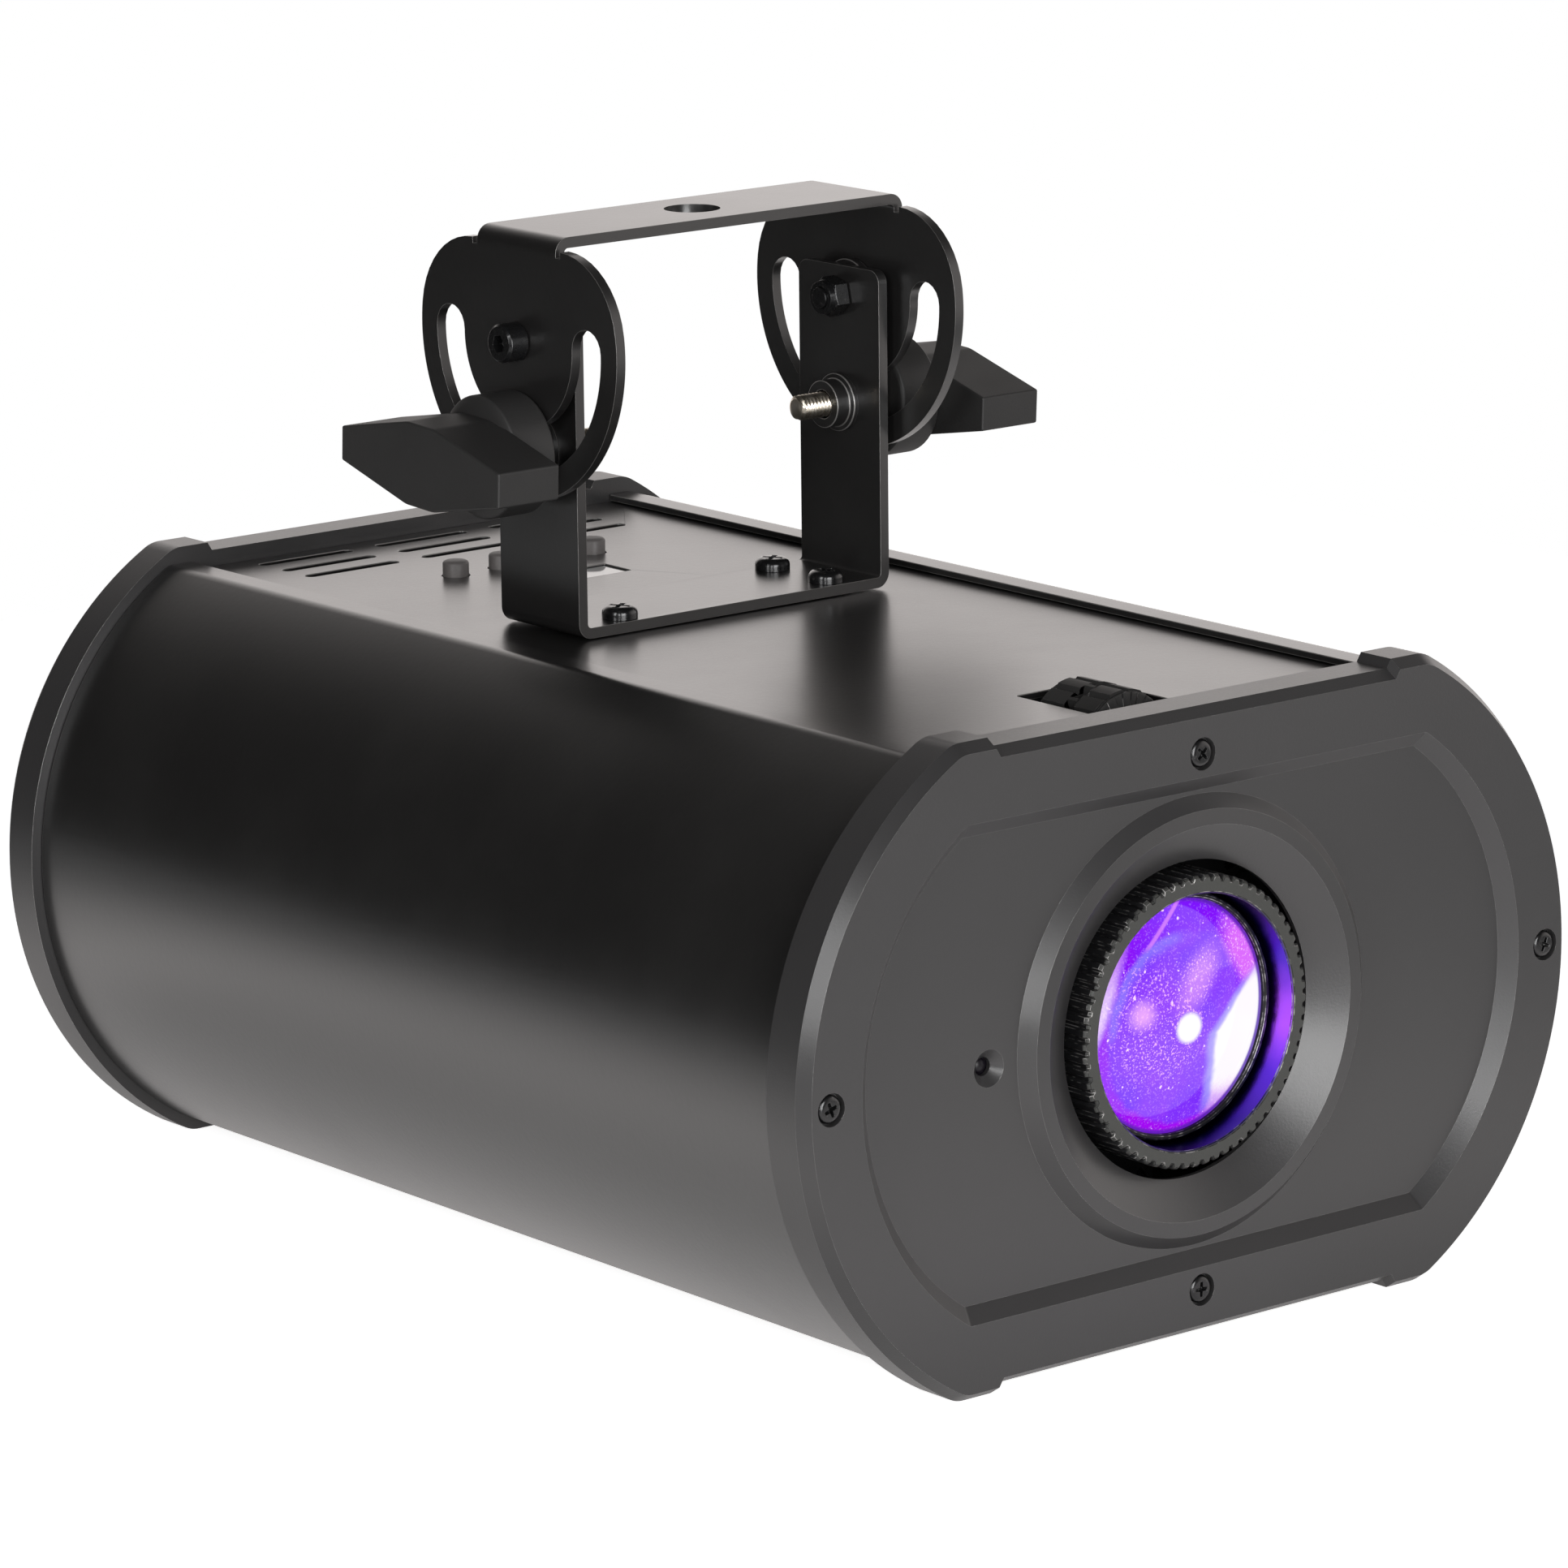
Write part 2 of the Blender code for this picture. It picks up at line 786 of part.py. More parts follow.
def rear_bezel(material):
    bm = bmesh.new()
    place = facing_rear()
    face_loops, back_loops = bezel_outside(bm, place)
    opening = barrel_path(side_radius - opening_rim, opening_half_height, recess_fillet)
    seat = barrel_path(side_radius - plate_rim, plate_half_height, recess_fillet)
    face = loop(bm, opening, 0, place)
    ledge = loop(bm, opening, plate_ledge, place)
    step = loop(bm, seat, plate_ledge, place)
    mouth = loop(bm, seat, bezel_depth, place)
    wall(bm, face, ledge)
    wall(bm, ledge, step)
    wall(bm, step, mouth)
    cap(bm, *face_loops, face)
    cap(bm, *back_loops, mouth)
    return piece("rear_bezel", bm, material, (0, depth_to_y(body_length), lens_height))


def bezel_screw(number, x, z, material):
    """A pan-head screw in its well."""
    bm = bmesh.new()
    top = well_depth - seat_gap
    profile = (
        (0, top - bezel_screw_rise),
        (bezel_screw_head * crown_share, top - bezel_screw_crown),
        (bezel_screw_head, top - bezel_screw_edge),
        (bezel_screw_head, top),
        (screw_radius, top),
        (screw_radius, top + screw_length),
        (0, top + screw_length),
    )
    turned(bm, facing_front(0, x, z), profile, screw_steps)
    return piece(f"front_screw_{number}", bm, material, facing_front(0, x, z).translation)


# Sheet-metal housing


def side_shell(name, side, material):
    """One curved side: a rolled sheet whose lips lie over the two panels."""
    bm = bmesh.new()

    def profile(radius, half_height, roll):
        corner_u, corner_v = corner_place(radius, half_height, roll)
        turn = atan2(corner_v, corner_u - side_centre)
        upper = arc(radius, 0, turn, side_steps, side_centre)
        upper += arc(roll, turn, pi / 2, fillet_steps, corner_u, corner_v)[1:]
        upper.append((shell_lip_edge, half_height))
        return [(u, -v) for u, v in reversed(upper)] + upper[1:]

    outside = profile(shell_radius, lip_top, shell_roll)
    inside = profile(shell_radius - sheet, lip_top - sheet, shell_roll - sheet)
    path = [(side * u, v) for u, v in outside + inside[::-1]]
    length = body_length - 2 * (bezel_depth + seat_gap)
    start = loop(bm, path, 0, facing_front(bezel_depth + seat_gap))
    end = loop(bm, path, length, facing_front(bezel_depth + seat_gap))
    wall(bm, start, end)
    cap(bm, start)
    cap(bm, end)
    return piece(name, bm, material)


def panel_outline():
    length = body_length - 2 * (bezel_depth + seat_gap)
    return rectangle(2 * panel_half_width, length, 0, body_length / 2)


def vents(first_depth, rows):
    return [
        slot(vent_length, vent_width, (column - 1) * vent_pitch_x, first_depth + row * vent_pitch_y)
        for column in range(vent_columns)
        for row in range(rows)
    ]


def button_places():
    return [(number - 1.5) * button_pitch for number in range(4)]


def yoke_screw_places():
    return [(a * yoke_screw_x, bracket_depth + b * yoke_screw_y) for a in (-1, 1) for b in (-1, 1)]


def top_panel(material):
    holes = vents(vent_first_depth, vent_rows)
    holes += [circle(button_radius + running_gap, 12, x, button_depth) for x in button_places()]
    holes.append(rectangle(display_width, display_length, 0, display_depth))
    slot_middle = wheel_slot_front + wheel_slot_length / 2
    holes.append(rectangle(wheel_slot_width, wheel_slot_length, wheel_x, slot_middle))
    holes += [circle(yoke_screw_radius + running_gap, 8, x, depth) for x, depth in yoke_screw_places()]
    bm = bmesh.new()
    plate(bm, lying(panel_height - sheet), sheet, panel_outline(), holes)
    return piece("top_panel", bm, material)


def bottom_panel(material):
    bm = bmesh.new()
    holes = vents(lower_vent_first_depth, lower_vent_rows)
    plate(bm, lying(-panel_height), sheet, panel_outline(), holes)
    return piece("bottom_panel", bm, material)


# Brackets


def bent_bracket(bm, half_width, flat_at, towards, side_path, side_holes, flat_holes):
    """A strap bent into a U: two side plates, two bends and the flat between them, in one sheet.

    The side path runs from the strap's rear edge round to its front edge, and starts and ends at the bend.
    towards is +1 where the sides rise from the flat and -1 where they hang from it.
    """
    half = bracket_width / 2
    sections = {}
    for side in (1, -1):
        outer_place = sideways(side * half_width, side)
        inner_place = sideways(side * (half_width - bracket_steel), side)
        outer = loop(bm, side_path, 0, outer_place)
        inner = loop(bm, side_path, 0, inner_place)
        wall(bm, outer, inner, closed=False)
        outer_rings = [outer]
        inner_rings = [inner]
        for path in side_holes:
            outer_rings.append(loop(bm, path, 0, outer_place))
            inner_rings.append(loop(bm, path, 0, inner_place))
            wall(bm, outer_rings[-1], inner_rings[-1])
        cap(bm, *outer_rings)
        cap(bm, *inner_rings)
        previous = [outer[0], outer[-1], inner[-1], inner[0]]
        center_x = half_width - bracket_bend
        center_z = flat_at + towards * bracket_bend
        for step in range(1, bend_steps + 1):
            angle = pi / 2 * step / bend_steps
            section = []
            for radius, y in (
                (bracket_bend, half),
                (bracket_bend, -half),
                (bracket_bend - bracket_steel, -half),
                (bracket_bend - bracket_steel, half),
            ):
                x = side * (center_x + radius * cos(angle))
                z = center_z - towards * radius * sin(angle)
                section.append(bm.verts.new((x, depth_to_y(bracket_depth) + y, lens_height + z)))
            wall(bm, previous, section)
            previous = section
        sections[side] = previous
    right, left = sections[1], sections[-1]
    outer_holes = []
    inner_holes = []
    for path in flat_holes:
        outer_holes.append(loop(bm, path, 0, lying(flat_at, 0, bracket_depth)))
        inner_holes.append(loop(bm, path, 0, lying(flat_at + towards * bracket_steel, 0, bracket_depth)))
        wall(bm, outer_holes[-1], inner_holes[-1])
    cap(bm, [right[0], right[1], left[1], left[0]], *outer_holes)
    cap(bm, [right[3], right[2], left[2], left[3]], *inner_holes)
    bm.faces.new((right[0], left[0], left[3], right[3]))
    bm.faces.new((right[1], left[1], left[2], right[2]))


def yoke_base(material):
    """The fixed U bracket. Each upright has a weld nut inside and two spacer rings for the disc outside."""
    half = bracket_width / 2
    foot = panel_height + seat_gap
    start = foot + bracket_bend
    side = [(half, start)]
    side += arc(yoke_corner, 0, pi / 2, 3, half - yoke_corner, yoke_top - yoke_corner)
    side += arc(yoke_corner, pi / 2, pi, 3, yoke_corner - half, yoke_top - yoke_corner)
    side.append((-half, start))
    pivot_hole = circle(pivot_shank_radius + running_gap, 12, 0, pivot_height)
    clamp_hole = circle(stud_radius + clamp_hole_gap, 12, 0, clamp_height)
    flat_holes = []
    for x, depth in yoke_screw_places():
        flat_holes.append(circle(yoke_screw_radius + running_gap, 8, x, depth - bracket_depth))
    bm = bmesh.new()
    bent_bracket(bm, yoke_half_width, foot, 1, side, [pivot_hole, clamp_hole], flat_holes)
    bracket = piece("yoke_base", bm, material, lying(foot, 0, bracket_depth).translation)
    nuts = bmesh.new()
    inner_face = yoke_half_width - bracket_steel
    for side in (1, -1):
        place = sideways(side * (inner_face - weld_nut_length), side, z=clamp_height)
        hexagon = circle(weld_nut_radius, 6)
        hole = circle(stud_radius + running_gap, 12)
        plate(nuts, place, weld_nut_length + joint_depth / 2, hexagon, [hole])
        for height, bore in ((pivot_height, pivot_shank_radius), (clamp_height, stud_radius + running_gap)):
            place = sideways(side * (yoke_half_width - joint_depth / 2), side, z=height)
            hole = circle(bore + running_gap, 12)
            plate(nuts, place, spacer_rise + joint_depth / 2, circle(spacer_radius, 12), [hole])
    combine(bracket, piece("weld_nuts_guide", nuts, material), "UNION")
    return bracket


def hanger_half_width():
    return yoke_half_width + spacer_rise + seat_gap + bracket_steel


def hanger(material, parent):
    """The tilting bracket: a bar with the clamp hole, and two discs whose arc slots ride on the studs."""
    half = bracket_width / 2
    start = hanger_top - bracket_bend
    shoulder = pivot_height + disc_shoulder
    corner_v = disc_shoulder - disc_fillet
    corner_u = sqrt((disc_radius - disc_fillet) ** 2 - corner_v**2)
    turn = atan2(corner_v, corner_u)
    relief_floor = start - relief_depth
    rear = [(half, start), (half, relief_floor), (half + relief_width, relief_floor)]
    rear.append((half + relief_width, shoulder))
    rear += arc(disc_fillet, pi / 2, turn, 3, corner_u, pivot_height + corner_v)
    rear += arc(disc_radius, turn, -pi / 2, 12, 0, pivot_height)[1:]
    side_path = rear + [(-u, v) for u, v in reversed(rear)][1:]

    inner = slot_radius - slot_width / 2
    outer = slot_radius + slot_width / 2
    low = -pi / 2 - slot_half_angle
    high = -pi / 2 + slot_half_angle
    end_low = (slot_radius * cos(low), slot_radius * sin(low))
    end_high = (slot_radius * cos(high), slot_radius * sin(high))
    arc_slot = arc(outer, low, high, 14)
    arc_slot += arc(slot_width / 2, high, high + pi, 4, *end_high)[1:-1]
    arc_slot += arc(inner, high, low, 14)
    arc_slot += arc(slot_width / 2, low + pi, low + 2 * pi, 4, *end_low)[1:-1]
    arc_slot = [(u, v + pivot_height) for u, v in arc_slot]
    pivot_hole = circle(pivot_shank_radius + running_gap, 12, 0, pivot_height)
    bm = bmesh.new()
    clamp_hole = circle(clamp_hole_radius, 20)
    holes = [pivot_hole, arc_slot]
    bent_bracket(bm, hanger_half_width(), hanger_top, -1, side_path, holes, [clamp_hole])
    origin = lying(pivot_height, 0, bracket_depth).translation
    return piece("hanger", bm, material, origin, parent)


def pivot_bolt(name, side, material):
    bm = bmesh.new()
    face = hanger_half_width() + seat_gap
    end = yoke_half_width - bracket_steel - seat_gap - pivot_nut_length - pivot_end
    profile = (
        (0, end - face),
        (pivot_shank_radius, end - face),
        (pivot_shank_radius, 0),
        (pivot_head_radius, 0),
        (pivot_head_radius, pivot_head_length - pivot_head_edge),
        (pivot_head_radius - pivot_head_edge, pivot_head_length),
        (0, pivot_head_length),
    )
    place = sideways(side * face, side, z=pivot_height)
    turned(bm, place, profile, 12)
    return piece(name, bm, material, place.translation)


def pivot_nut(name, side, material):
    bm = bmesh.new()
    outer_face = yoke_half_width - bracket_steel - seat_gap
    place = sideways(side * outer_face, -side, z=pivot_height)
    bore = circle(pivot_shank_radius + running_gap, 12)
    plate(bm, place, pivot_nut_length, circle(pivot_nut_radius, 6), [bore])
    return piece(name, bm, material, place.translation)


def clamp_knob(name, side, material, parent):
    """A round collar that bears on the disc, and the tapered T grip moulded on it."""
    bm = bmesh.new()
    face = hanger_half_width() + seat_gap
    place = sideways(side * face, side, z=clamp_height)
    bore = stud_radius + running_gap
    profile = (
        (0, knob_bore_depth),
        (bore, knob_bore_depth),
        (bore, 0),
        (collar_radius, 0),
        (collar_radius, collar_length - collar_edge_height),
        (collar_radius - collar_edge_width, collar_length),
        (0, collar_length),
    )
    turned(bm, place, profile, 18)
    origin = place.translation
    knob = piece(name, bm, material, origin, parent)

    grip = bmesh.new()
    reach = grip_length / 2
    shoulder = grip_middle_height / 4
    quarter = ((reach, grip_tip_height / 2), (shoulder, grip_middle_height / 2))
    path = list(quarter) + [(-u, v) for u, v in reversed(quarter)]
    path += [(-u, -v) for u, v in path]
    cosine, sine = cos(grip_turn), sin(grip_turn)
    path = [(u * cosine - v * sine, u * sine + v * cosine) for u, v in path]
    lower = loop(grip, path, collar_length - grip_root, place)
    upper = loop(grip, path, collar_length + grip_thickness, place)
    wall(grip, lower, upper)
    grip.faces.new(lower)
    grip.faces.new(upper)
    bmesh.ops.recalc_face_normals(grip, faces=grip.faces)
    bmesh.ops.bevel(grip, geom=list(grip.edges), offset=grip_bevel, segments=1, affect="EDGES")
    combine(knob, piece(name + "_grip_guide", grip, material, origin, parent), "UNION")
    return knob


def clamp_stud(name, side, material, parent):
    bm = bmesh.new()
    face = hanger_half_width() + seat_gap
    nut_end = yoke_half_width - bracket_steel - weld_nut_length
    place = sideways(side * face, side, z=clamp_height)
    tail = nut_end - stud_end - face
    profile = (
        (0, tail),
        (stud_radius - stud_chamfer, tail),
        (stud_radius, tail + stud_chamfer),
        (stud_radius, knob_bore_depth - running_gap),
        (0, knob_bore_depth - running_gap),
    )
    turned(bm, place, profile, 12)
    return piece(name, bm, material, place.translation, parent)


def yoke_screw(number, x, depth, material):
    bm = bmesh.new()
    rise = yoke_screw_head_height
    seat = panel_height + seat_gap + bracket_steel + seat_gap
    profile = (
        (0, rise),
        (yoke_screw_head * crown_share, yoke_screw_crown),
        (yoke_screw_head, yoke_screw_edge),
        (yoke_screw_head, 0),
        (yoke_screw_radius, 0),
        (yoke_screw_radius, -yoke_screw_length),
        (0, -yoke_screw_length),
    )
    place = lying(seat, x, depth)
    turned(bm, place, profile, screw_steps)
    return piece(f"yoke_screw_{number}", bm, material, place.translation)


# Focus mechanism


def wheel_place():
    """Where the thumb wheel's axis stands above the lens axis, at the gears' centre distance."""
    distance = (ring_teeth + wheel_teeth) * tooth_module / 2
    return wheel_x, sqrt(distance**2 - wheel_x**2)


def mesh_angle():
    x, z = wheel_place()
    return atan2(z, x)


def focus_ring(material, parent):
    """The toothed ring that the thumb wheel turns, with helical grooves inside for the cams."""
    bm = bmesh.new()
    place = facing_front()
    grip = ridged_circle(ring_grip_radius, ring_grip_groove, grip_ridges)
    gear = gear_path(ring_teeth, mesh_angle(), mid_flank=False)
    bore = circle(ring_bore_radius, 36)
    tail = circle(ring_tail_radius, 28)
    sections = [
        (bore, ring_face),
        (grip, ring_face),
        (grip, gear_front),
        (gear, gear_front),
        (gear, gear_front + gear_width),
        (tail, gear_front + gear_width),
        (tail, ring_rear),
        (bore, ring_rear),
    ]
    skin(bm, place, sections, through=True)
    ring = piece("focus_ring", bm, material, place.translation, parent)
    grooves = bmesh.new()
    half = cam_radius + running_gap
    sweep = focus_turn + 2 * groove_spare
    inner = ring_bore_radius - cutter_reach
    outer = (ring_bore_radius + groove_depth) / cos(sweep / (2 * groove_steps))
    for number in range(cam_count):
        first = pi / 2 + 2 * pi * number / cam_count
        rows = []
        for step in range(groove_steps + 1):
            turn = -groove_spare + sweep * step / groove_steps
            depth = cam_depth + focus_travel * turn / focus_turn
            angle = first + turn
            row = []
            for radius, along in ((inner, -half), (outer, -half), (outer, half), (inner, half)):
                point = Vector((radius * cos(angle), radius * sin(angle), depth + along))
                row.append(grooves.verts.new(place @ point))
            rows.append(row)
        for before, after in zip(rows, rows[1:]):
            wall(grooves, before, after)
        grooves.faces.new(rows[0])
        grooves.faces.new(rows[-1])
    combine(ring, piece("cam_grooves_guide", grooves, None, place.translation, parent), "DIFFERENCE")
    return ring


def cell_radius():
    return ring_bore_radius - running_gap


def lens_cell(material, parent):
    """The sliding tube that holds the lens. Its cams reach through the guide tube into the ring's grooves."""
    bm = bmesh.new()
    head = cell_radius()
    seat = lens_radius + running_gap
    front = lens_seat
    profile = (
        (head, front),
        (head, front + cell_head_length),
        (cell_tail_radius, front + cell_head_length),
        (cell_tail_radius, cell_rear),
        (cell_bore_radius, cell_rear),
        (cell_bore_radius, front + lens_edge + seat_gap),
        (seat, front + lens_edge + seat_gap),
        (seat, front),
    )
    place = facing_front()
    turned(bm, place, profile, lens_steps, ring=True)
    cell = piece("lens_cell", bm, material, place.translation, parent)
    cams = bmesh.new()
    length = ring_bore_radius + groove_depth - running_gap
    for number in range(cam_count):
        angle = pi / 2 + 2 * pi * number / cam_count
        outward = Vector((cos(angle), 0, sin(angle)))
        across = Vector((-sin(angle), 0, cos(angle)))
        origin = (0, depth_to_y(cam_depth), lens_height)
        root = cell_tail_radius - cam_root
        profile = ((0, root), (cam_radius, root), (cam_radius, length), (0, length))
        turned(cams, placed(origin, across, (0, 1, 0), outward), profile, 8)
    combine(cell, piece("cams_guide", cams, material, place.translation, parent), "UNION")
    return cell


def front_lens(material, parent):
    """A plano-convex glass, its round side to the front."""
    bm = bmesh.new()
    radius = (lens_radius**2 + lens_bulge**2) / (2 * lens_bulge)
    profile = [(0, lens_face_vertex)]
    for step in range(1, 5):
        reach = lens_radius * step / 4
        profile.append((reach, lens_face_vertex + radius - sqrt(radius**2 - reach**2)))
    rear = lens_seat + lens_edge
    profile += [(lens_radius, rear), (0, rear)]
    turned(bm, facing_front(), profile, lens_steps)
    return piece("front_lens", bm, material, facing_front().translation, parent)


def lens_retainer(material, parent):
    """The threaded ring that keeps the lens in its cell."""
    bm = bmesh.new()
    radius = (lens_radius**2 + lens_bulge**2) / (2 * lens_bulge)
    glass_at_edge = lens_face_vertex + radius - sqrt(radius**2 - retainer_inner_radius**2)
    rear = glass_at_edge - seat_gap
    front = rear - retainer_thickness
    profile = (
        (retainer_inner_radius, rear),
        (retainer_inner_radius, front),
        (cell_radius(), front),
        (cell_radius(), rear),
    )
    turned(bm, facing_front(), profile, lens_steps, ring=True)
    return piece("lens_retainer", bm, material, facing_front().translation, parent)


def guide_tube(material):
    """The fixed tube between cell and ring. Straight slots keep the cams from turning with the ring."""
    bm = bmesh.new()
    inner = cell_tail_radius + running_gap
    outer = inner + guide_wall
    flange_rear = front_bulkhead_depth - seat_gap
    flange_front = flange_rear - guide_flange
    profile = (
        (inner, guide_front),
        (outer, guide_front),
        (outer, flange_front),
        (guide_flange_radius, flange_front),
        (guide_flange_radius, flange_rear),
        (inner, flange_rear),
    )
    turned(bm, facing_front(), profile, lens_steps, ring=True)
    tube = piece("guide_tube", bm, material)
    slots = bmesh.new()
    half = cam_radius + running_gap
    for number in range(cam_count):
        angle = pi / 2 + 2 * pi * number / cam_count
        outward = Vector((cos(angle), 0, sin(angle)))
        across = Vector((-sin(angle), 0, cos(angle)))
        place = placed((0, depth_to_y(cam_depth), lens_height), across, (0, 1, 0), outward)
        path = rectangle(2 * half, focus_travel + 2 * half, 0, focus_travel / 2)
        skin(slots, place, [(path, inner - cutter_reach), (path, outer + cutter_reach)])
    combine(tube, piece("guide_slots_guide", slots, None), "DIFFERENCE")
    return tube


def focus_wheel(material, parent):
    """The fluted thumb wheel. Its flutes are the teeth that drive the ring."""
    bm = bmesh.new()
    x, z = wheel_place()
    gap_at = mesh_angle() + pi
    path = gear_path(wheel_teeth, gap_at + pi / wheel_teeth, mid_flank=False)
    bore = circle(wheel_bore_radius, 12)
    place = facing_front(wheel_front, x, z)
    skin(bm, place, [(bore, 0), (path, 0), (path, wheel_length), (bore, wheel_length)], through=True)
    return piece("focus_wheel", bm, material, place.translation, parent)


def wheel_tip_radius():
    return wheel_teeth * tooth_module / 2 + tooth_module


def bracket_leg_depths():
    """The thumb wheel's bracket stands clear of both ends of the wheel."""
    front = wheel_front - seat_gap - sheet
    rear = wheel_front + wheel_length + seat_gap
    return front, rear


def focus_axle(material):
    x, z = wheel_place()
    front, rear = bracket_leg_depths()
    bm = bmesh.new()
    length = rear + sheet - front + 2 * axle_end
    place = facing_front(front - axle_end, x, z)
    post(bm, place, axle_radius, length, 10)
    return piece("focus_axle", bm, material, place.translation)


def wheel_bracket(material):
    """A folded channel under the top panel: two legs carry the axle, and a web joins them."""
    x, z = wheel_place()
    front, rear = bracket_leg_depths()
    web = x + wheel_tip_radius() + wheel_side_gap
    edge = x - axle_radius - bracket_edge
    path = [(edge, front), (web + sheet, front), (web + sheet, rear + sheet), (edge, rear + sheet)]
    path += [(edge, rear), (web, rear), (web, front + sheet), (edge, front + sheet)]
    bottom = z - axle_radius - bracket_edge
    top = panel_height - sheet - seat_gap
    bm = bmesh.new()
    lower = loop(bm, path, bottom, lying(0))
    upper = loop(bm, path, top, lying(0))
    wall(bm, lower, upper)
    cap(bm, lower)
    cap(bm, upper)
    bracket = piece("wheel_bracket", bm, material)
    hole = bmesh.new()
    length = rear + sheet - front
    path = circle(axle_radius + running_gap, 12)
    skin(hole, facing_front(front, x, z), [(path, -sheet), (path, length + sheet)])
    combine(bracket, piece("axle_hole_guide", hole, None), "DIFFERENCE")
    return bracket


def infrared_sensor(material):
    """The receiver behind its hole in the bezel, a lens dome on a square body."""
    bm = bmesh.new()
    back = recess_depth + front_wall + seat_gap
    dome = circle(sensor_hole_radius - running_gap, 12)
    body = rectangle(sensor_body, sensor_body)
    sections = [(dome, back - sensor_dome), (dome, back), (body, back), (body, back + sensor_body_depth)]
    place = facing_front(0, sensor_x)
    skin(bm, place, sections)
    return piece("infrared_sensor", bm, material)


# Optics behind the lens


def plate_path():
    """Cross plates fill the housing between its panels and stand on the bottom one."""
    return barrel_path(plate_side_radius, panel_height - sheet - seat_gap, plate_fillet, 3)


def front_bulkhead(material):
    bm = bmesh.new()
    hole = circle(cell_tail_radius + cell_hole_gap, 24)
    plate(bm, facing_front(front_bulkhead_depth), sheet, plate_path(), [hole])
    return piece("front_bulkhead", bm, material)


def effect_plate(material):
    bm = bmesh.new()
    shaft_hole = circle(motor_shaft_radius + shaft_hole_gap, 10, color_wheel_x)
    holes = [circle(light_path_radius, 24), shaft_hole]
    plate(bm, facing_front(effect_plate_depth), sheet, plate_path(), holes)
    return piece("effect_plate", bm, material)


def gear_motor(name, place, shaft, material):
    """A round gear motor with its shaft on the far side of place."""
    bm = bmesh.new()
    profile = (
        (0, 0),
        (motor_radius, 0),
        (motor_radius, motor_length),
        (motor_shaft_radius, motor_length),
        (motor_shaft_radius, motor_length + shaft),
        (0, motor_length + shaft),
    )
    turned(bm, place, profile, 16)
    return piece(name, bm, material, place.translation)


def ripple_wheel(name, side, depth, material, parent):
    """A disc of rippled glass on a hub with a blind bore for the motor's shaft."""
    bm = bmesh.new()
    bore = motor_shaft_radius + running_gap
    rear = depth + ripple_wheel_glass
    profile = (
        (0, rear - ripple_bore_floor),
        (bore, rear - ripple_bore_floor),
        (bore, depth - hub_length),
        (hub_radius, depth - hub_length),
        (hub_radius, depth),
        (ripple_wheel_radius, depth),
        (ripple_wheel_radius, rear),
        (0, rear),
    )
    place = facing_front(0, side * ripple_wheel_x)
    turned(bm, place, profile, 20)
    return piece(name, bm, material, facing_front(depth, side * ripple_wheel_x).translation, parent)


def ripple_motor(name, side, depth, material):
    start = ripple_motor_front
    shaft = depth + ripple_wheel_glass - ripple_bore_floor - seat_gap - start - motor_length
    return gear_motor(name, facing_front(start, side * ripple_wheel_x), shaft, material)


def color_window_ring():
    """The windows' middle radius is the distance from the wheel's axis to the light's axis."""
    return color_wheel_x


def color_wheel(material, parent):
    bm = bmesh.new()
    windows = []
    for number in range(color_windows):
        angle = 2 * pi * number / color_windows
        u = color_window_ring() * cos(angle)
        v = color_window_ring() * sin(angle)
        windows.append(circle(color_window_radius, 9, u, v))
    bore = circle(motor_shaft_radius + running_gap, 12)
    place = facing_front(color_wheel_depth, color_wheel_x)
    plate(bm, place, color_wheel_sheet, circle(color_wheel_radius, 28), [*windows, bore])
    return piece("color_wheel", bm, material, place.translation, parent)


def color_filters(material, parent):
    """One ring of filter glass in colored fields, held on the front of the wheel."""
    bm = bmesh.new()
    width = color_wheel_radius - color_window_ring() - filter_rim
    inner = color_window_ring() - width
    outer = color_window_ring() + width
    place = facing_front(filter_depth, color_wheel_x)
    profile = ((inner, 0), (outer, 0), (outer, filter_glass), (inner, filter_glass))
    turned(bm, place, profile, 24, ring=True)
    return piece("color_filters", bm, material, place.translation, parent)


def color_motor(material):
    """The motor stands behind the effect plate, and its shaft reaches forward to the wheel."""
    start = effect_plate_depth + sheet + seat_gap + motor_length
    place = facing_rear(body_length - start, color_wheel_x)
    shaft = start - motor_length - color_wheel_depth + color_shaft_end
    return gear_motor("color_motor", place, shaft, material)


def condenser_holder(material):
    """A tube with an inner lip that the condenser rests on."""
    bm = bmesh.new()
    start = condenser_start
    inner = condenser_radius + running_gap
    outer = inner + condenser_holder_wall
    lip = condenser_edge_depth - seat_gap
    profile = (
        (light_path_radius - condenser_lip, start),
        (outer, start),
        (outer, start + condenser_holder_length),
        (inner, start + condenser_holder_length),
        (inner, lip),
        (light_path_radius - condenser_lip, lip),
    )
    turned(bm, facing_front(), profile, 20, ring=True)
    return piece("condenser_holder", bm, material)


def condenser_lens(material):
    bm = bmesh.new()
    edge = condenser_edge
    bulge = condenser_thickness - edge
    radius = (condenser_radius**2 + bulge**2) / (2 * bulge)
    rim = condenser_edge_depth
    profile = [(0, rim), (condenser_radius, rim), (condenser_radius, rim + edge)]
    for step in range(2, -1, -1):
        reach = condenser_radius * step / 3
        rise = sqrt(radius**2 - reach**2) - (radius - bulge)
        profile.append((reach, rim + edge + rise))
    turned(bm, facing_front(), profile, 20)
    return piece("condenser_lens", bm, material)


def led_module(material):
    """The lamp's metal-core board with its round emitter."""
    bm = bmesh.new()
    board = rectangle(lamp_board, lamp_board)
    emitter = circle(emitter_radius, 16)
    front = emitter_depth + emitter_height
    sections = [
        (emitter, front - emitter_height),
        (emitter, front),
        (board, front),
        (board, front + lamp_board_thickness),
    ]
    skin(bm, facing_front(), sections)
    return piece("led_module", bm, material)


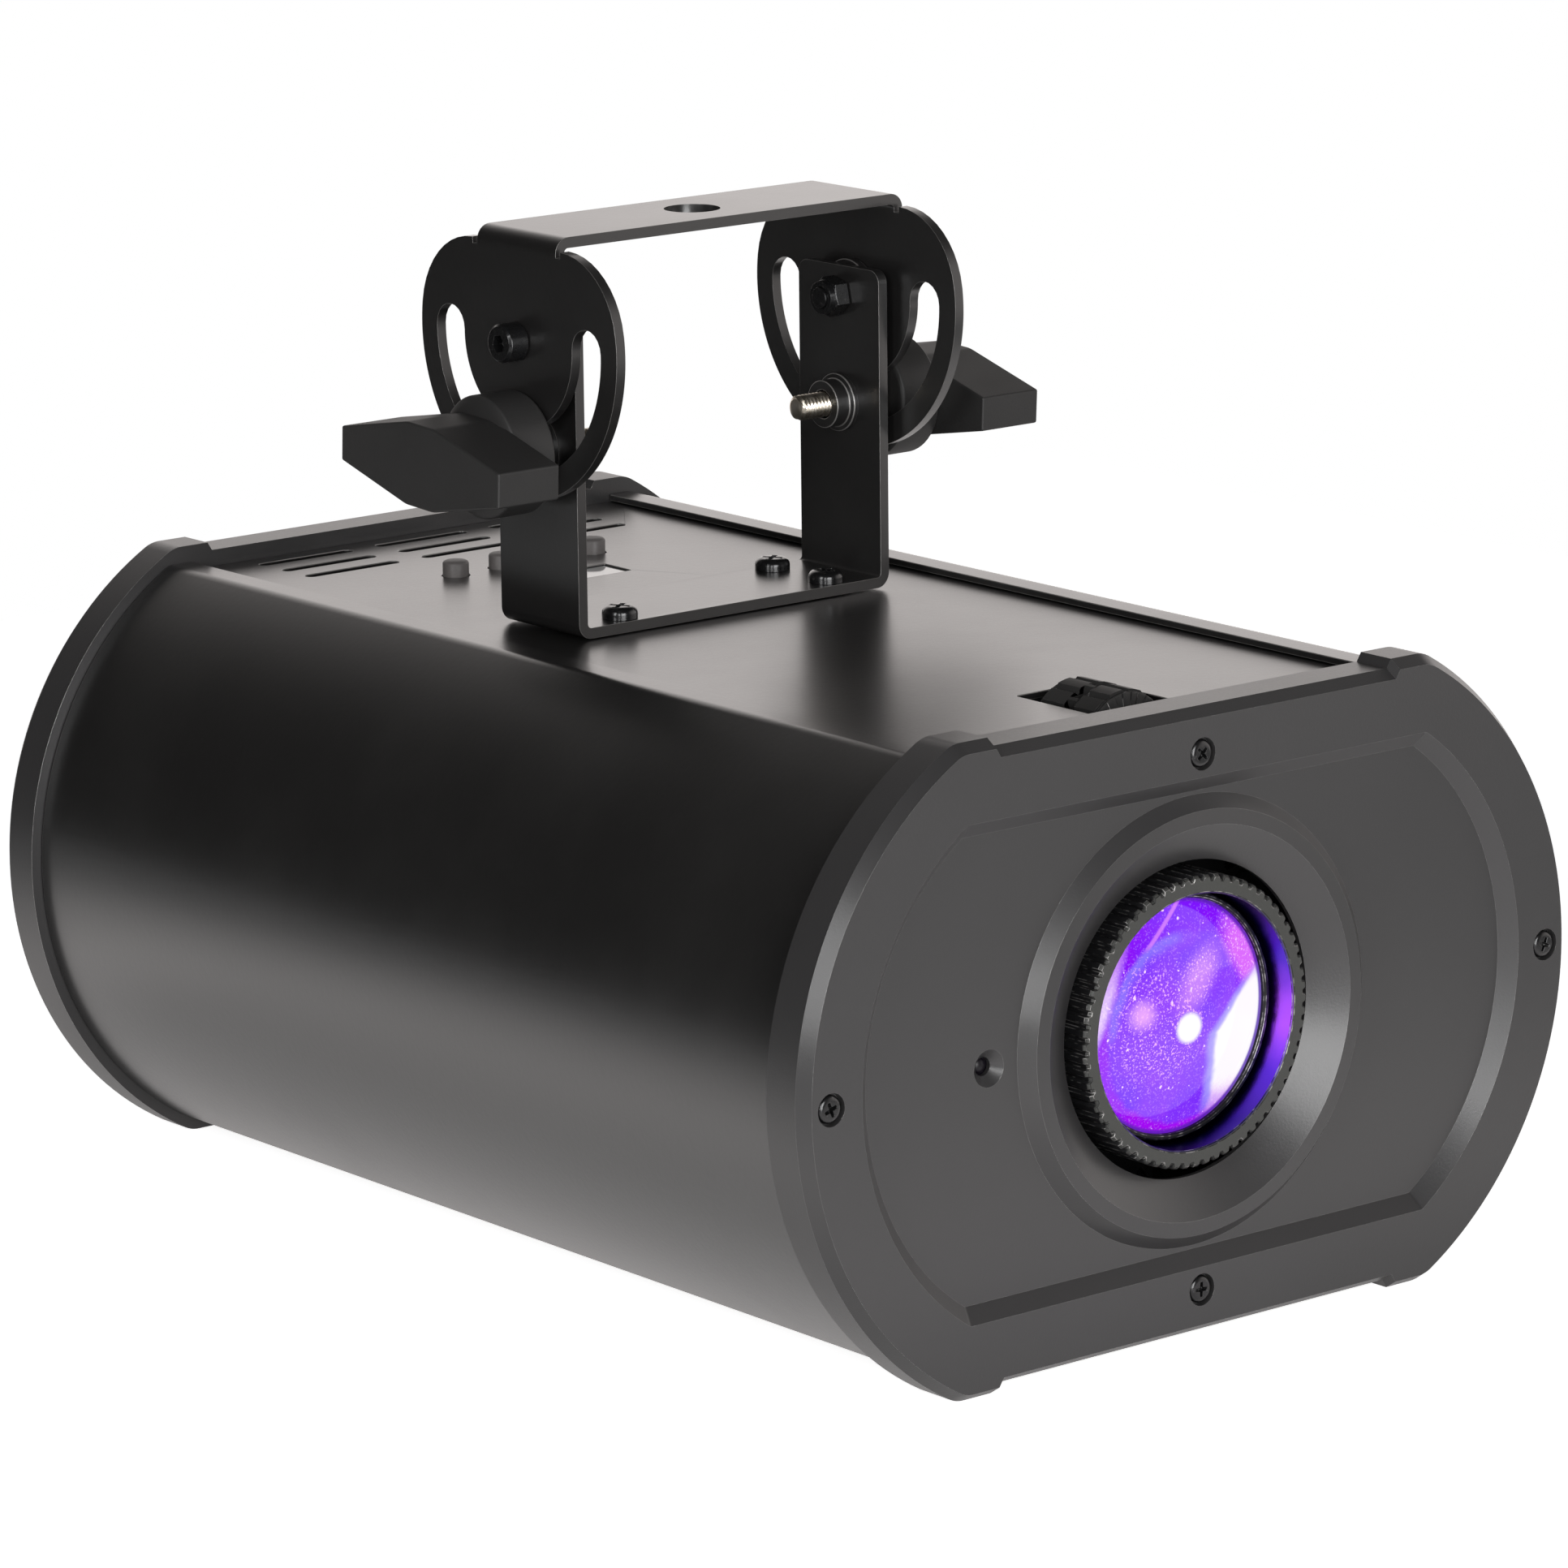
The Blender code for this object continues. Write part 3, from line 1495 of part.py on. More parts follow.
def lamp_bracket(material):
    """The upright plate between lamp and heat sink, standing on the bottom panel."""
    bm = bmesh.new()
    bottom = -(panel_height - sheet - seat_gap)
    top = sink_height / 2
    outline = rectangle(sink_width + 2 * lamp_bracket_rim, top - bottom, 0, (top + bottom) / 2, plate_fillet)
    plate(bm, facing_front(lamp_bracket_depth), sheet, outline)
    return piece("lamp_bracket", bm, material)


def heat_sink(material):
    """An extruded comb: the fins point to the rear and the air passes up between them."""
    bm = bmesh.new()
    half = sink_width / 2
    pitch = (sink_width - sink_fin_thickness) / (sink_fins - 1)
    path = [(-half, 0), (half, 0)]
    for number in range(sink_fins):
        right = half - number * pitch
        left = right - sink_fin_thickness
        if number:
            path.append((right, sink_base))
        path += [(right, sink_length), (left, sink_length)]
        if number < sink_fins - 1:
            path.append((left, sink_base))
    place = lying(-sink_height / 2, 0, sink_front)
    lower = loop(bm, path, 0, place)
    upper = loop(bm, path, sink_height, place)
    wall(bm, lower, upper)
    cap(bm, lower)
    cap(bm, upper)
    return piece("heat_sink", bm, material)


# Fan and rear plate


def plate_inner_face():
    """How far the rear plate's inner face lies in front of the rear face."""
    return plate_ledge + seat_gap + sheet


def fan_frame(material):
    """A square housing with a round bore and, on its inner side, the spider that carries the rotor."""
    bm = bmesh.new()
    place = facing_rear(plate_inner_face() + seat_gap, fan_x)
    square = rectangle(fan_size, fan_size, 0, 0, fan_corner)
    outer = fan_bore_radius
    sectors = []
    for number in range(4):
        middle = pi / 4 + number * pi / 2
        spread_out = pi / 4 - spoke_width / 2 / outer
        spread_in = pi / 4 - spoke_width / 2 / fan_hub_radius
        path = arc(outer - fan_bore_wall, middle - spread_out, middle + spread_out, 4)
        path += arc(fan_hub_radius, middle + spread_in, middle - spread_in, 2)
        sectors.append(path)
    floor = fan_depth - spider_thickness
    mouth = loop(bm, square, 0, place)
    back = loop(bm, square, fan_depth, place)
    wall(bm, mouth, back)
    bore_mouth = loop(bm, circle(outer, 28), 0, place)
    bore_floor = loop(bm, circle(outer, 28), floor, place)
    wall(bm, bore_mouth, bore_floor)
    cap(bm, mouth, bore_mouth)
    inner_side = [loop(bm, path, floor, place) for path in sectors]
    outer_side = [loop(bm, path, fan_depth, place) for path in sectors]
    for near, far in zip(inner_side, outer_side):
        wall(bm, near, far)
    cap(bm, bore_floor, *inner_side)
    cap(bm, back, *outer_side)
    return piece("fan_frame", bm, material, place.translation)


def fan_rotor(material, parent):
    """The hub and its twisted blades, a running gap in front of the spider."""
    bm = bmesh.new()
    front = plate_inner_face() + 2 * seat_gap + rotor_gap
    length = fan_depth - spider_thickness - rotor_gap - 2 * seat_gap
    place = facing_rear(front, fan_x)
    profile = (
        (0, 0),
        (fan_hub_radius - rotor_gap - rotor_edge, 0),
        (fan_hub_radius - rotor_gap, rotor_edge),
        (fan_hub_radius - rotor_gap, length),
        (0, length),
    )
    turned(bm, place, profile, 16)
    rotor = piece("fan_rotor", bm, material, place.translation, parent)
    blades = bmesh.new()
    tip = fan_bore_radius - fan_tip_gap
    root = fan_hub_radius - rotor_gap - blade_root_overlap
    for number in range(fan_blades):
        angle = 2 * pi * number / fan_blades
        rows = []
        for step in range(blade_steps + 1):
            share = step / blade_steps
            radius = root + (tip - root) * share
            pitch = blade_root_pitch + (blade_tip_pitch - blade_root_pitch) * share
            chord = blade_root_chord + (blade_tip_chord - blade_root_chord) * share
            row = []
            for along, thick in ((-0.5, -1), (0.5, -1), (0.5, 1), (-0.5, 1)):
                across = chord * along * cos(pitch) - thick * blade_thickness / 2 * sin(pitch)
                deep = chord * along * sin(pitch) + thick * blade_thickness / 2 * cos(pitch)
                u = radius * cos(angle) - across * sin(angle)
                v = radius * sin(angle) + across * cos(angle)
                scale = min(1, radius / sqrt(u * u + v * v))
                row.append(blades.verts.new(place @ Vector((u * scale, v * scale, length / 2 + deep))))
            rows.append(row)
        for before, after in zip(rows, rows[1:]):
            wall(blades, before, after)
        blades.faces.new(rows[0])
        blades.faces.new(rows[-1])
    combine(rotor, piece("fan_blades_guide", blades, material, place.translation, parent), "UNION")
    return rotor


def grille_slots():
    """Rows of slots that together fill a circle over the fan."""
    slots = []
    for number in range(grille_bars):
        v = (number - (grille_bars - 1) / 2) * grille_pitch
        half = sqrt((fan_bore_radius - grille_rim) ** 2 - (abs(v) + grille_slot / 2) ** 2)
        if half > fan_hub_radius:
            length = half - spoke_width / 2
            for side in (1, -1):
                middle = side * (spoke_width / 2 + length / 2)
                slots.append(slot(length, grille_slot, fan_x + middle, v, 2))
        else:
            slots.append(slot(2 * half, grille_slot, fan_x, v, 2))
    return slots


def rear_plate(material):
    bm = bmesh.new()
    radius = side_radius - plate_rim - seat_gap
    outline = barrel_path(radius, plate_half_height - seat_gap, recess_fillet)
    holes = grille_slots()
    width = inlet_width - 2 * (inlet_body_inset - running_gap)
    height = inlet_height - 2 * (inlet_body_inset - running_gap)
    holes.append(rectangle(width, height, inlet_x, inlet_z, inlet_corner))
    for z in (signal_z, -signal_z):
        holes.append(circle(signal_radius + running_gap, 14, signal_x, z))
    plate(bm, facing_rear(plate_ledge + seat_gap), sheet, outline, holes)
    return piece("rear_plate", bm, material)


def power_inlet(material):
    """A mains inlet: a flange outside the plate, a body inside, and the cavity that the plug enters."""
    bm = bmesh.new()
    flange = rectangle(inlet_width, inlet_height, 0, 0, inlet_corner)
    body_size = (inlet_width - 2 * inlet_body_inset, inlet_height - 2 * inlet_body_inset)
    body = rectangle(*body_size, 0, 0, inlet_body_corner)
    width, height = inlet_cavity
    slope = inlet_cavity_slope
    half = width / 2
    cavity = [(half, -height / 2), (half, height / 2 - slope), (half - slope, height / 2)]
    cavity += [(slope - half, height / 2), (-half, height / 2 - slope), (-half, -height / 2)]
    face = plate_ledge - socket_flange
    sections = [
        (cavity, face + inlet_depth - inlet_floor),
        (cavity, face),
        (flange, face),
        (flange, plate_ledge),
        (body, plate_ledge),
        (body, face + inlet_depth),
    ]
    skin(bm, facing_rear(0, inlet_x, inlet_z), sections)
    return piece("power_inlet", bm, material)


def signal_socket(name, z, cavity_depth, material):
    """A round signal connector on its square flange."""
    bm = bmesh.new()
    flange = rectangle(*signal_flange, 0, 0, signal_corner)
    face = plate_ledge - socket_flange
    sections = [
        (circle(signal_cavity_radius, 14), face + cavity_depth),
        (circle(signal_cavity_radius, 14), face),
        (flange, face),
        (flange, plate_ledge),
        (circle(signal_radius, 14), plate_ledge),
        (circle(signal_radius, 14), face + signal_depth),
    ]
    skin(bm, facing_rear(0, signal_x, z), sections)
    return piece(name, bm, material)


# Controls and power


def board_top():
    return panel_height - sheet - board_drop


def switch_top():
    """The top of a switch body: the button's tail stops its travel above it."""
    return panel_height - sheet - seat_gap - button_tail - button_travel - seat_gap


def control_board(material):
    """The board under the top panel with its display, four switches and four standoffs, as soldered."""
    depth = (button_depth + display_depth) / 2
    low = board_top() - board_thickness
    bm = bmesh.new()
    place = lying(low, 0, depth)
    board_length = display_to_buttons + 2 * board_margin
    outline = rectangle(board_width, board_length)
    skin(bm, place, [(outline, 0), (outline, board_thickness)])
    board = piece("control_board", bm, material, place.translation)
    parts = bmesh.new()
    y = depth_to_y(display_depth)
    top = lens_height + panel_height - sheet - seat_gap - window_thickness - seat_gap
    base = lens_height + board_top() - joint_depth
    half = (display_width / 2, display_length / 2)
    box(parts, (-half[0], y - half[1], base), (half[0], y + half[1], top))
    for x in button_places():
        y = depth_to_y(button_depth)
        half = switch_width / 2
        box(parts, (x - half, y - half, base), (x + half, y + half, lens_height + switch_top()))
    for a in (-1, 1):
        for b in (-1, 1):
            x = a * (board_width / 2 - standoff_inset)
            y = depth + b * (board_length / 2 - standoff_inset)
            rise = board_drop + joint_depth - seat_gap
            place = lying(board_top() - joint_depth, x, y)
            post(parts, place, standoff_radius, rise, 6)
    combine(board, piece("board_parts_guide", parts, material), "UNION")
    return board


def display_window(material):
    """A clear window that fills the opening from below and rests its border against the panel."""
    bm = bmesh.new()
    place = lying(panel_height - sheet - seat_gap - window_thickness, 0, display_depth)
    border = rectangle(display_width + 2 * display_border, display_length + 2 * display_border, 0, 0)
    pane = rectangle(display_width - 2 * seat_gap, display_length - 2 * seat_gap)
    rise = sheet
    sections = [
        (border, 0),
        (border, window_thickness),
        (pane, window_thickness),
        (pane, window_thickness + rise),
    ]
    skin(bm, place, sections)
    return piece("display_window", bm, material)


def button(number, x, material, parent):
    """A round cap held under the panel by its flange."""
    bm = bmesh.new()
    under = -sheet - seat_gap
    crown = button_stands
    profile = (
        (0, crown),
        (button_radius - button_edge, crown),
        (button_radius, crown - button_edge),
        (button_radius, under),
        (button_flange_radius, under),
        (button_flange_radius, under - button_flange),
        (button_stem_radius, under - button_flange),
        (button_stem_radius, under - button_tail),
        (0, under - button_tail),
    )
    place = lying(panel_height, x, button_depth)
    turned(bm, place, profile, 9)
    return piece(f"button_{number}", bm, material, place.translation, parent)


def power_supply(material):
    """An open board on four feet with its transformer, capacitors and choke."""
    floor = -(panel_height - sheet - seat_gap)
    low = floor + power_board_rise
    bm = bmesh.new()
    outline = rectangle(power_board_width, power_board_length)
    place = lying(low, 0, power_board_depth)
    skin(bm, place, [(outline, 0), (outline, board_thickness)])
    board = piece("power_supply", bm, material, place.translation)
    parts = bmesh.new()
    top = lens_height + low + board_thickness - joint_depth
    y = depth_to_y(power_board_depth)
    for x, (width, length, height) in ((transformer_x, transformer), (choke_x, choke)):
        low_corner = (x - width / 2, y - length / 2, top)
        box(parts, low_corner, (x + width / 2, y + length / 2, top + height))
    for x in capacitor_places:
        place = lying(low + board_thickness - joint_depth, x, power_board_depth)
        post(parts, place, capacitor_radius, capacitor_height, 10)
    for a in (-1, 1):
        for b in (-1, 1):
            x = a * (power_board_width / 2 - standoff_inset)
            depth = power_board_depth + b * (power_board_length / 2 - standoff_inset)
            rise = power_board_rise + joint_depth
            place = lying(floor, x, depth)
            post(parts, place, standoff_radius, rise, 6)
    combine(board, piece("power_parts_guide", parts, material), "UNION")
    return board


def axis_empty(name, place):
    empty = bpy.data.objects.new(name, None)
    empty.location = place
    bpy.context.scene.collection.objects.link(empty)
    return empty


def build():
    remove_old_objects()
    charcoal = finish("charcoal_plastic", (0.071, 0.069, 0.070), 0.55)
    powder_coat = finish("black_powder_coat", (0.012, 0.012, 0.012), 0.38)
    black_plastic = finish("black_plastic", (0.02, 0.02, 0.021), 0.5)
    black_oxide = finish("black_oxide_steel", (0.018, 0.018, 0.018), 0.32, 0.8)
    steel = finish("zinc_steel", (0.62, 0.60, 0.57), 0.3, 1.0)
    galvanised = finish("galvanised_sheet", (0.55, 0.56, 0.57), 0.42, 1.0)
    aluminium = finish("aluminium", (0.72, 0.73, 0.74), 0.35, 1.0)
    black_anodised = finish("black_anodised_aluminium", (0.016, 0.016, 0.018), 0.36, 0.6)
    coated_glass = finish("coated_glass", (0.30, 0.12, 0.85), 0.03)
    ripple_glass = finish("ripple_glass", (0.80, 0.90, 0.92), 0.05)
    filter_finish = finish("filter_glass", (0.55, 0.25, 0.85), 0.05)
    clear_window = finish("smoked_window", (0.03, 0.03, 0.035), 0.08)
    board_green = finish("circuit_board", (0.02, 0.12, 0.06), 0.5)
    motor_steel = finish("motor_can", (0.50, 0.50, 0.50), 0.35, 1.0)

    front_bezel(charcoal)
    rear_bezel(charcoal)
    for number, (x, z) in enumerate(bezel_screw_places(), 1):
        bezel_screw(number, x, z, black_oxide)
    side_shell("right_side_shell", 1, powder_coat)
    side_shell("left_side_shell", -1, powder_coat)
    top_panel(powder_coat)
    bottom_panel(powder_coat)
    rear_plate(powder_coat)

    yoke_base(powder_coat)
    for number, (x, depth) in enumerate(yoke_screw_places(), 1):
        yoke_screw(number, x, depth, black_oxide)
    pivot = axis_empty("pivot_axis", lying(pivot_height, 0, bracket_depth).translation)
    swinging = hanger(powder_coat, None)
    swinging.parent = pivot
    swinging.location = (0, 0, 0)
    for name, side in (("left", -1), ("right", 1)):
        pivot_bolt(f"pivot_bolt_{name}", side, black_oxide)
        pivot_nut(f"pivot_nut_{name}", side, black_oxide)
        clamp_knob(f"clamp_knob_{name}", side, black_plastic, None)
        clamp_stud(f"clamp_stud_{name}", side, steel, None)

    focus_ring(black_plastic, None)
    lens_cell(black_anodised, None)
    front_lens(coated_glass, None)
    lens_retainer(black_anodised, None)
    guide_tube(black_anodised)
    focus_wheel(black_plastic, None)
    focus_axle(steel)
    wheel_bracket(galvanised)
    infrared_sensor(clear_window)

    front_bulkhead(galvanised)
    effect_plate(galvanised)
    for name, side, depth in (("right", 1, ripple_wheel_depths[0]), ("left", -1, ripple_wheel_depths[1])):
        ripple_wheel(f"ripple_wheel_{name}", side, depth, ripple_glass, None)
        ripple_motor(f"ripple_motor_{name}", side, depth, motor_steel)
    color_wheel(black_anodised, None)
    color_filters(filter_finish, None)
    color_motor(motor_steel)
    condenser_holder(black_anodised)
    condenser_lens(ripple_glass)
    led_module(aluminium)
    lamp_bracket(galvanised)
    heat_sink(aluminium)

    fan_frame(black_plastic)
    fan_rotor(black_plastic, None)
    power_inlet(black_plastic)
    signal_socket("signal_input", signal_z, signal_cavity_depths[0], black_plastic)
    signal_socket("signal_output", -signal_z, signal_cavity_depths[1], black_plastic)

    control_board(board_green)
    display_window(clear_window)
    for number, x in enumerate(button_places(), 1):
        button(number, x, black_plastic, None)
    power_supply(board_green)


build()
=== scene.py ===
from math import acos, atan2, cos, pi, radians, sin, sqrt

import bmesh
import bpy
from mathutils import Matrix, Vector


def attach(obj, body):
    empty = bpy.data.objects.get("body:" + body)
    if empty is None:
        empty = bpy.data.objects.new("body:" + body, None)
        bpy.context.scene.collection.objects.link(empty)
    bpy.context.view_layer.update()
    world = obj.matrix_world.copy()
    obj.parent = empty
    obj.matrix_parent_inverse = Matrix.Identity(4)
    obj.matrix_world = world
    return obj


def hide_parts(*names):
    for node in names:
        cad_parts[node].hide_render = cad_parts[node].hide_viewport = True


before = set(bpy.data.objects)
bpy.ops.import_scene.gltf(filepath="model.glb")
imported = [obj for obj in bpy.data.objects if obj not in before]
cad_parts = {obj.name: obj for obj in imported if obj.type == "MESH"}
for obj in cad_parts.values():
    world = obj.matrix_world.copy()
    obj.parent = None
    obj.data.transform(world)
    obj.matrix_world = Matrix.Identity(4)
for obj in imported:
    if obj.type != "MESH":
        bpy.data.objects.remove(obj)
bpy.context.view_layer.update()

# Camera. It stands where the photographer stood, found from the edges of the front bezel:
# a long lens 1.5 m away, 39 degrees round towards the left side and 13 degrees above the lens axis.
body_length = 0.288
axis_height = 0.069
view_turn = -0.6829906
view_rise = 0.2283674
view_roll = -0.0114135
view_distance = 1.5238645
view_shift_right = -0.0862845
view_shift_up = 0.0508045
focal_pixels = 9047.728
picture_pixels = 1932
film_width = 36

back = Vector((sin(view_turn) * cos(view_rise), -cos(view_turn) * cos(view_rise), sin(view_rise)))
level = Vector((cos(view_turn), sin(view_turn), 0))
plumb = back.cross(level)
right = cos(view_roll) * level + sin(view_roll) * plumb
up = -sin(view_roll) * level + cos(view_roll) * plumb
photographer = bpy.data.objects.new("photographer", bpy.data.cameras.new("long_lens"))
photographer.matrix_world = Matrix((right, up, back)).transposed().to_4x4()
front_middle = Vector((0, -body_length / 2, axis_height))
stand = back * view_distance + level * view_shift_right + plumb * view_shift_up + front_middle
photographer.matrix_world.translation = stand
photographer.data.sensor_width = film_width
photographer.data.lens = film_width * (focal_pixels / picture_pixels)
photographer.data.clip_start = 0.05
photographer.data.clip_end = 20
bpy.context.scene.collection.objects.link(photographer)
bpy.context.scene.camera = photographer
bpy.context.scene.view_settings.view_transform = "Standard"

# Front bezel: one charcoal moulding with a raised rim, a sunk field and the ring that surrounds the lens.
# Moulded in a spark-eroded tool, which leaves an even fine grain, and screwed on from the front.
side_centre = 0.029
bezel_radius = 0.078
bezel_depth = 0.012
pad_half_height = 0.069
flat_half_height = 0.0671
pad_edge = 0.0549
pad_step = 0.0012
bezel_fillet = 0.008
chamfer_depth = 0.0029
chamfer_width = 0.0019
rim_width = 0.012
recess_radius = 0.063
recess_half_height = 0.0525
recess_depth = 0.003
recess_slope = 0.0033
recess_fillet = 0.0015
bezel_wall_depth = 0.006
well_radius = 0.0035
well_depth = 0.002
screw_bore = 0.0018
bezel_screws = [(0.100, 0), (0, 0.0575), (-0.100, 0), (0, -0.0575)]
surround_foot = 0.0484
surround_outer = 0.0455
surround_inner = 0.0422
surround_sag = 0.0002
funnel_mouth = 0.034
funnel_depth = 0.0049
sensor_x = -0.056
sensor_cone = 0.004
sensor_bore = 0.002
sensor_cone_depth = 0.002


def placed(origin, u_axis, v_axis, w_axis):
    matrix = Matrix((u_axis, v_axis, w_axis)).transposed().to_4x4()
    matrix.translation = Vector(origin)
    return matrix


def facing_front(depth=0, x=0, z=0):
    """u right, v up, built up from the front face towards the rear, z counted from the lens axis."""
    return placed((x, depth - body_length / 2, axis_height + z), (1, 0, 0), (0, 0, 1), (0, 1, 0))


def facing_rear(depth=0, x=0, z=0):
    """The same, built up from the rear face towards the front."""
    return placed((x, body_length / 2 - depth, axis_height + z), (1, 0, 0), (0, 0, 1), (0, -1, 0))


def arc(radius, start, end, steps, center_u=0, center_v=0):
    angles = [start + (end - start) * step / steps for step in range(steps + 1)]
    return [(center_u + radius * cos(angle), center_v + radius * sin(angle)) for angle in angles]


def circle(radius, steps=32, center_u=0, center_v=0):
    return arc(radius, 0, 2 * pi, steps, center_u, center_v)[:-1]


def mirrored(quarter):
    """A whole outline from its first quarter, which starts on the u axis."""
    half = quarter + [(-u, v) for u, v in reversed(quarter)]
    half = half[:-1]
    return half + [(-u, -v) for u, v in half]


def barrel_quarter(radius, half_height, fillet, side_steps=30, fillet_steps=7):
    """A quarter of the housing's outline: its round side and the small round corner above it."""
    corner_v = half_height - fillet
    corner_u = side_centre + sqrt((radius - fillet) ** 2 - corner_v**2)
    turn = atan2(corner_v, corner_u - side_centre)
    side = arc(radius, 0, turn, side_steps, side_centre)
    return side + arc(fillet, turn, pi / 2, fillet_steps, corner_u, corner_v)[1:]


def barrel(radius, half_height, fillet):
    return mirrored(barrel_quarter(radius, half_height, fillet))


def bezel_outline(inset):
    """The outline with its four corner pads, which stand 1.9 mm proud of the flats between them."""
    quarter = barrel_quarter(bezel_radius - inset, pad_half_height - inset, bezel_fillet - inset / 2)
    quarter += [(pad_edge + pad_step, pad_half_height - inset), (pad_edge, flat_half_height - inset)]
    return mirrored(quarter)


def rounds(profile, spokes, center_u=0):
    """The sections of a turned form: a circle for each radius and height of its profile."""
    return [(circle(radius, spokes, center_u), height) for radius, height in profile]


def loop(bm, path, height, place):
    return [bm.verts.new(place @ Vector((u, v, height))) for u, v in path]


def wall(bm, lower, upper, closed=True):
    count = len(lower)
    for here in range(count if closed else count - 1):
        there = (here + 1) % count
        bm.faces.new((lower[here], lower[there], upper[there], upper[here]))


def cap(bm, *loops):
    """One flat face with the first loop as its edge and the others as its holes."""
    edges = []
    for ring in loops:
        for start, end in zip(ring, ring[1:] + ring[:1]):
            edges.append(bm.edges.get((start, end)) or bm.edges.new((start, end)))
    bmesh.ops.triangle_fill(bm, use_beauty=True, use_dissolve=False, edges=edges)


def tube(bm, place, sections):
    """Walls from loop to loop. A step between loops of unequal count is a flat ring."""
    rings = [loop(bm, path, height, place) for path, height in sections]
    for lower, upper in zip(rings, rings[1:]):
        if len(lower) == len(upper):
            wall(bm, lower, upper)
        else:
            cap(bm, lower, upper)
    return rings


def solid(bm, place, sections):
    """A tube whose first and last loops are closed with flat faces."""
    rings = tube(bm, place, sections)
    bm.faces.new(rings[0])
    bm.faces.new(rings[-1])


def hoop(bm, place, sections):
    """A tube that runs on into its first loop, as a washer or a sleeve does."""
    rings = tube(bm, place, sections)
    wall(bm, rings[-1], rings[0])


def piece(name, bm, finish, body, slot, stands_for=(), edge=0.0, turn=28, edge_finish=None):
    """A named object from the built faces, its sharp edges broken by the width edge in their own finish."""
    bmesh.ops.recalc_face_normals(bm, faces=bm.faces)
    mesh = bpy.data.meshes.new(name)
    bm.to_mesh(mesh)
    bm.free()
    mesh.shade_smooth()
    mesh.set_sharp_from_angle(angle=radians(turn))
    made = bpy.data.objects.new(name, mesh)
    bpy.context.scene.collection.objects.link(made)
    made.data.materials.append(finish)
    if edge:
        rounding = made.modifiers.new("broken_edges", "BEVEL")
        rounding.width = edge
        rounding.segments = 3
        rounding.limit_method = "ANGLE"
        rounding.angle_limit = radians(turn)
        rounding.harden_normals = True
    if edge_finish:
        made.data.materials.append(edge_finish)
        rounding.material = 1
    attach(made, body)
    if stands_for:
        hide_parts(*stands_for)


class Strand:
    """A shader socket. Sums and products of strands add Math nodes, and node adds any other node."""

    def __init__(self, tree, socket):
        self.tree = tree
        self.socket = socket

    def node(self, kind, settings, sockets, output=0):
        made = self.tree.nodes.new("ShaderNode" + kind)
        for name, value in settings.items():
            if name == "stops":
                ramp = made.color_ramp
                while len(ramp.elements) < len(value):
                    ramp.elements.new(1.0)
                for element, (position, color) in zip(ramp.elements, value):
                    element.position = position
                    element.color = (*color, 1)
            elif name == "interpolation":
                made.color_ramp.interpolation = value
            else:
                setattr(made, name, value)
        for name, value in sockets.items():
            if isinstance(value, Strand):
                self.tree.links.new(value.socket, made.inputs[name])
            else:
                made.inputs[name].default_value = value
        return Strand(self.tree, made.outputs[output])

    def math(self, operation, other=0.0):
        """A Math node on this strand and, where it takes two values, another."""
        return self.node("Math", {"operation": operation}, {0: self, 1: other})

    def __add__(self, other):
        return self.math("ADD", other)

    def __sub__(self, other):
        return self.math("SUBTRACT", other)

    def __mul__(self, other):
        return self.math("MULTIPLY", other)

    def __truediv__(self, other):
        return self.math("DIVIDE", other)

    def __rsub__(self, other):
        return self.node("Math", {"operation": "SUBTRACT"}, {0: other, 1: self})

    __radd__ = __add__
    __rmul__ = __mul__

    def rise(self, low, high):
        """0 below low and 1 above high, with a smooth ramp between them."""
        settings = {"interpolation_type": "SMOOTHSTEP"}
        return self.node("MapRange", settings, {"Value": self, "From Min": low, "From Max": high})

    def between(self, low, high):
        """The color this share of the way from low to high."""
        low = low if isinstance(low, Strand) else (*low, 1)
        high = high if isinstance(high, Strand) else (*high, 1)
        return self.node("Mix", {"data_type": "RGBA"}, {0: self, 6: low, 7: high}, 2)

    def noise(self, scale, detail=2.0, roughness=0.5):
        sockets = {"Vector": self, "Scale": scale, "Detail": detail, "Roughness": roughness}
        return self.node("TexNoise", {}, sockets)

    def bumped(self, distance, strength=1.0):
        return self.node("Bump", {}, {"Height": self, "Distance": distance, "Strength": strength})

    def axis(self, number):
        """One coordinate of a vector: 0 for x, 1 for y, 2 for z."""
        return self.node("SeparateXYZ", {}, {0: self}, number)


def finished(name, recipe, **steady):
    """A material. Its recipe gets the piece's own coordinates and gives what varies over the surface."""
    material = bpy.data.materials.new(name)
    material.use_nodes = True
    tree = material.node_tree
    shader = tree.nodes["Principled BSDF"]
    place = Strand(tree, tree.nodes.new("ShaderNodeTexCoord").outputs["Object"])
    steady = {key.replace("_", " "): value for key, value in steady.items()}
    for socket, value in {**steady, **recipe(place)}.items():
        if isinstance(value, Strand):
            tree.links.new(value.socket, shader.inputs[socket])
        else:
            shader.inputs[socket].default_value = value
    return material


def charcoal_grain(place):
    """Even grain with faint flow clouds, and a little paler where the grain stands up."""
    grain = place.noise(1900, 3.0, 0.65)
    cloud = place.noise(26, 2.0)
    shade = (0.35 + 0.3 * grain + 0.35 * cloud).between((0.026, 0.0248, 0.0255), (0.044, 0.0427, 0.0435))
    return {
        "Base Color": shade,
        "Roughness": 0.29 + 0.10 * grain + 0.05 * cloud,
        "Normal": grain.bumped(0.00006, 0.5),
    }


def mottled(scale, dark, light, least, spread, bump=(), detail=3.0, roughness=0.6):
    """A recipe in which one noise varies the color, the roughness and, where bump is given, the height."""

    def recipe(place):
        patch = place.noise(scale, detail, roughness)
        varied = {"Base Color": patch.between(dark, light), "Roughness": least + spread * patch}
        if bump:
            varied["Normal"] = patch.bumped(*bump)
        return varied

    return recipe


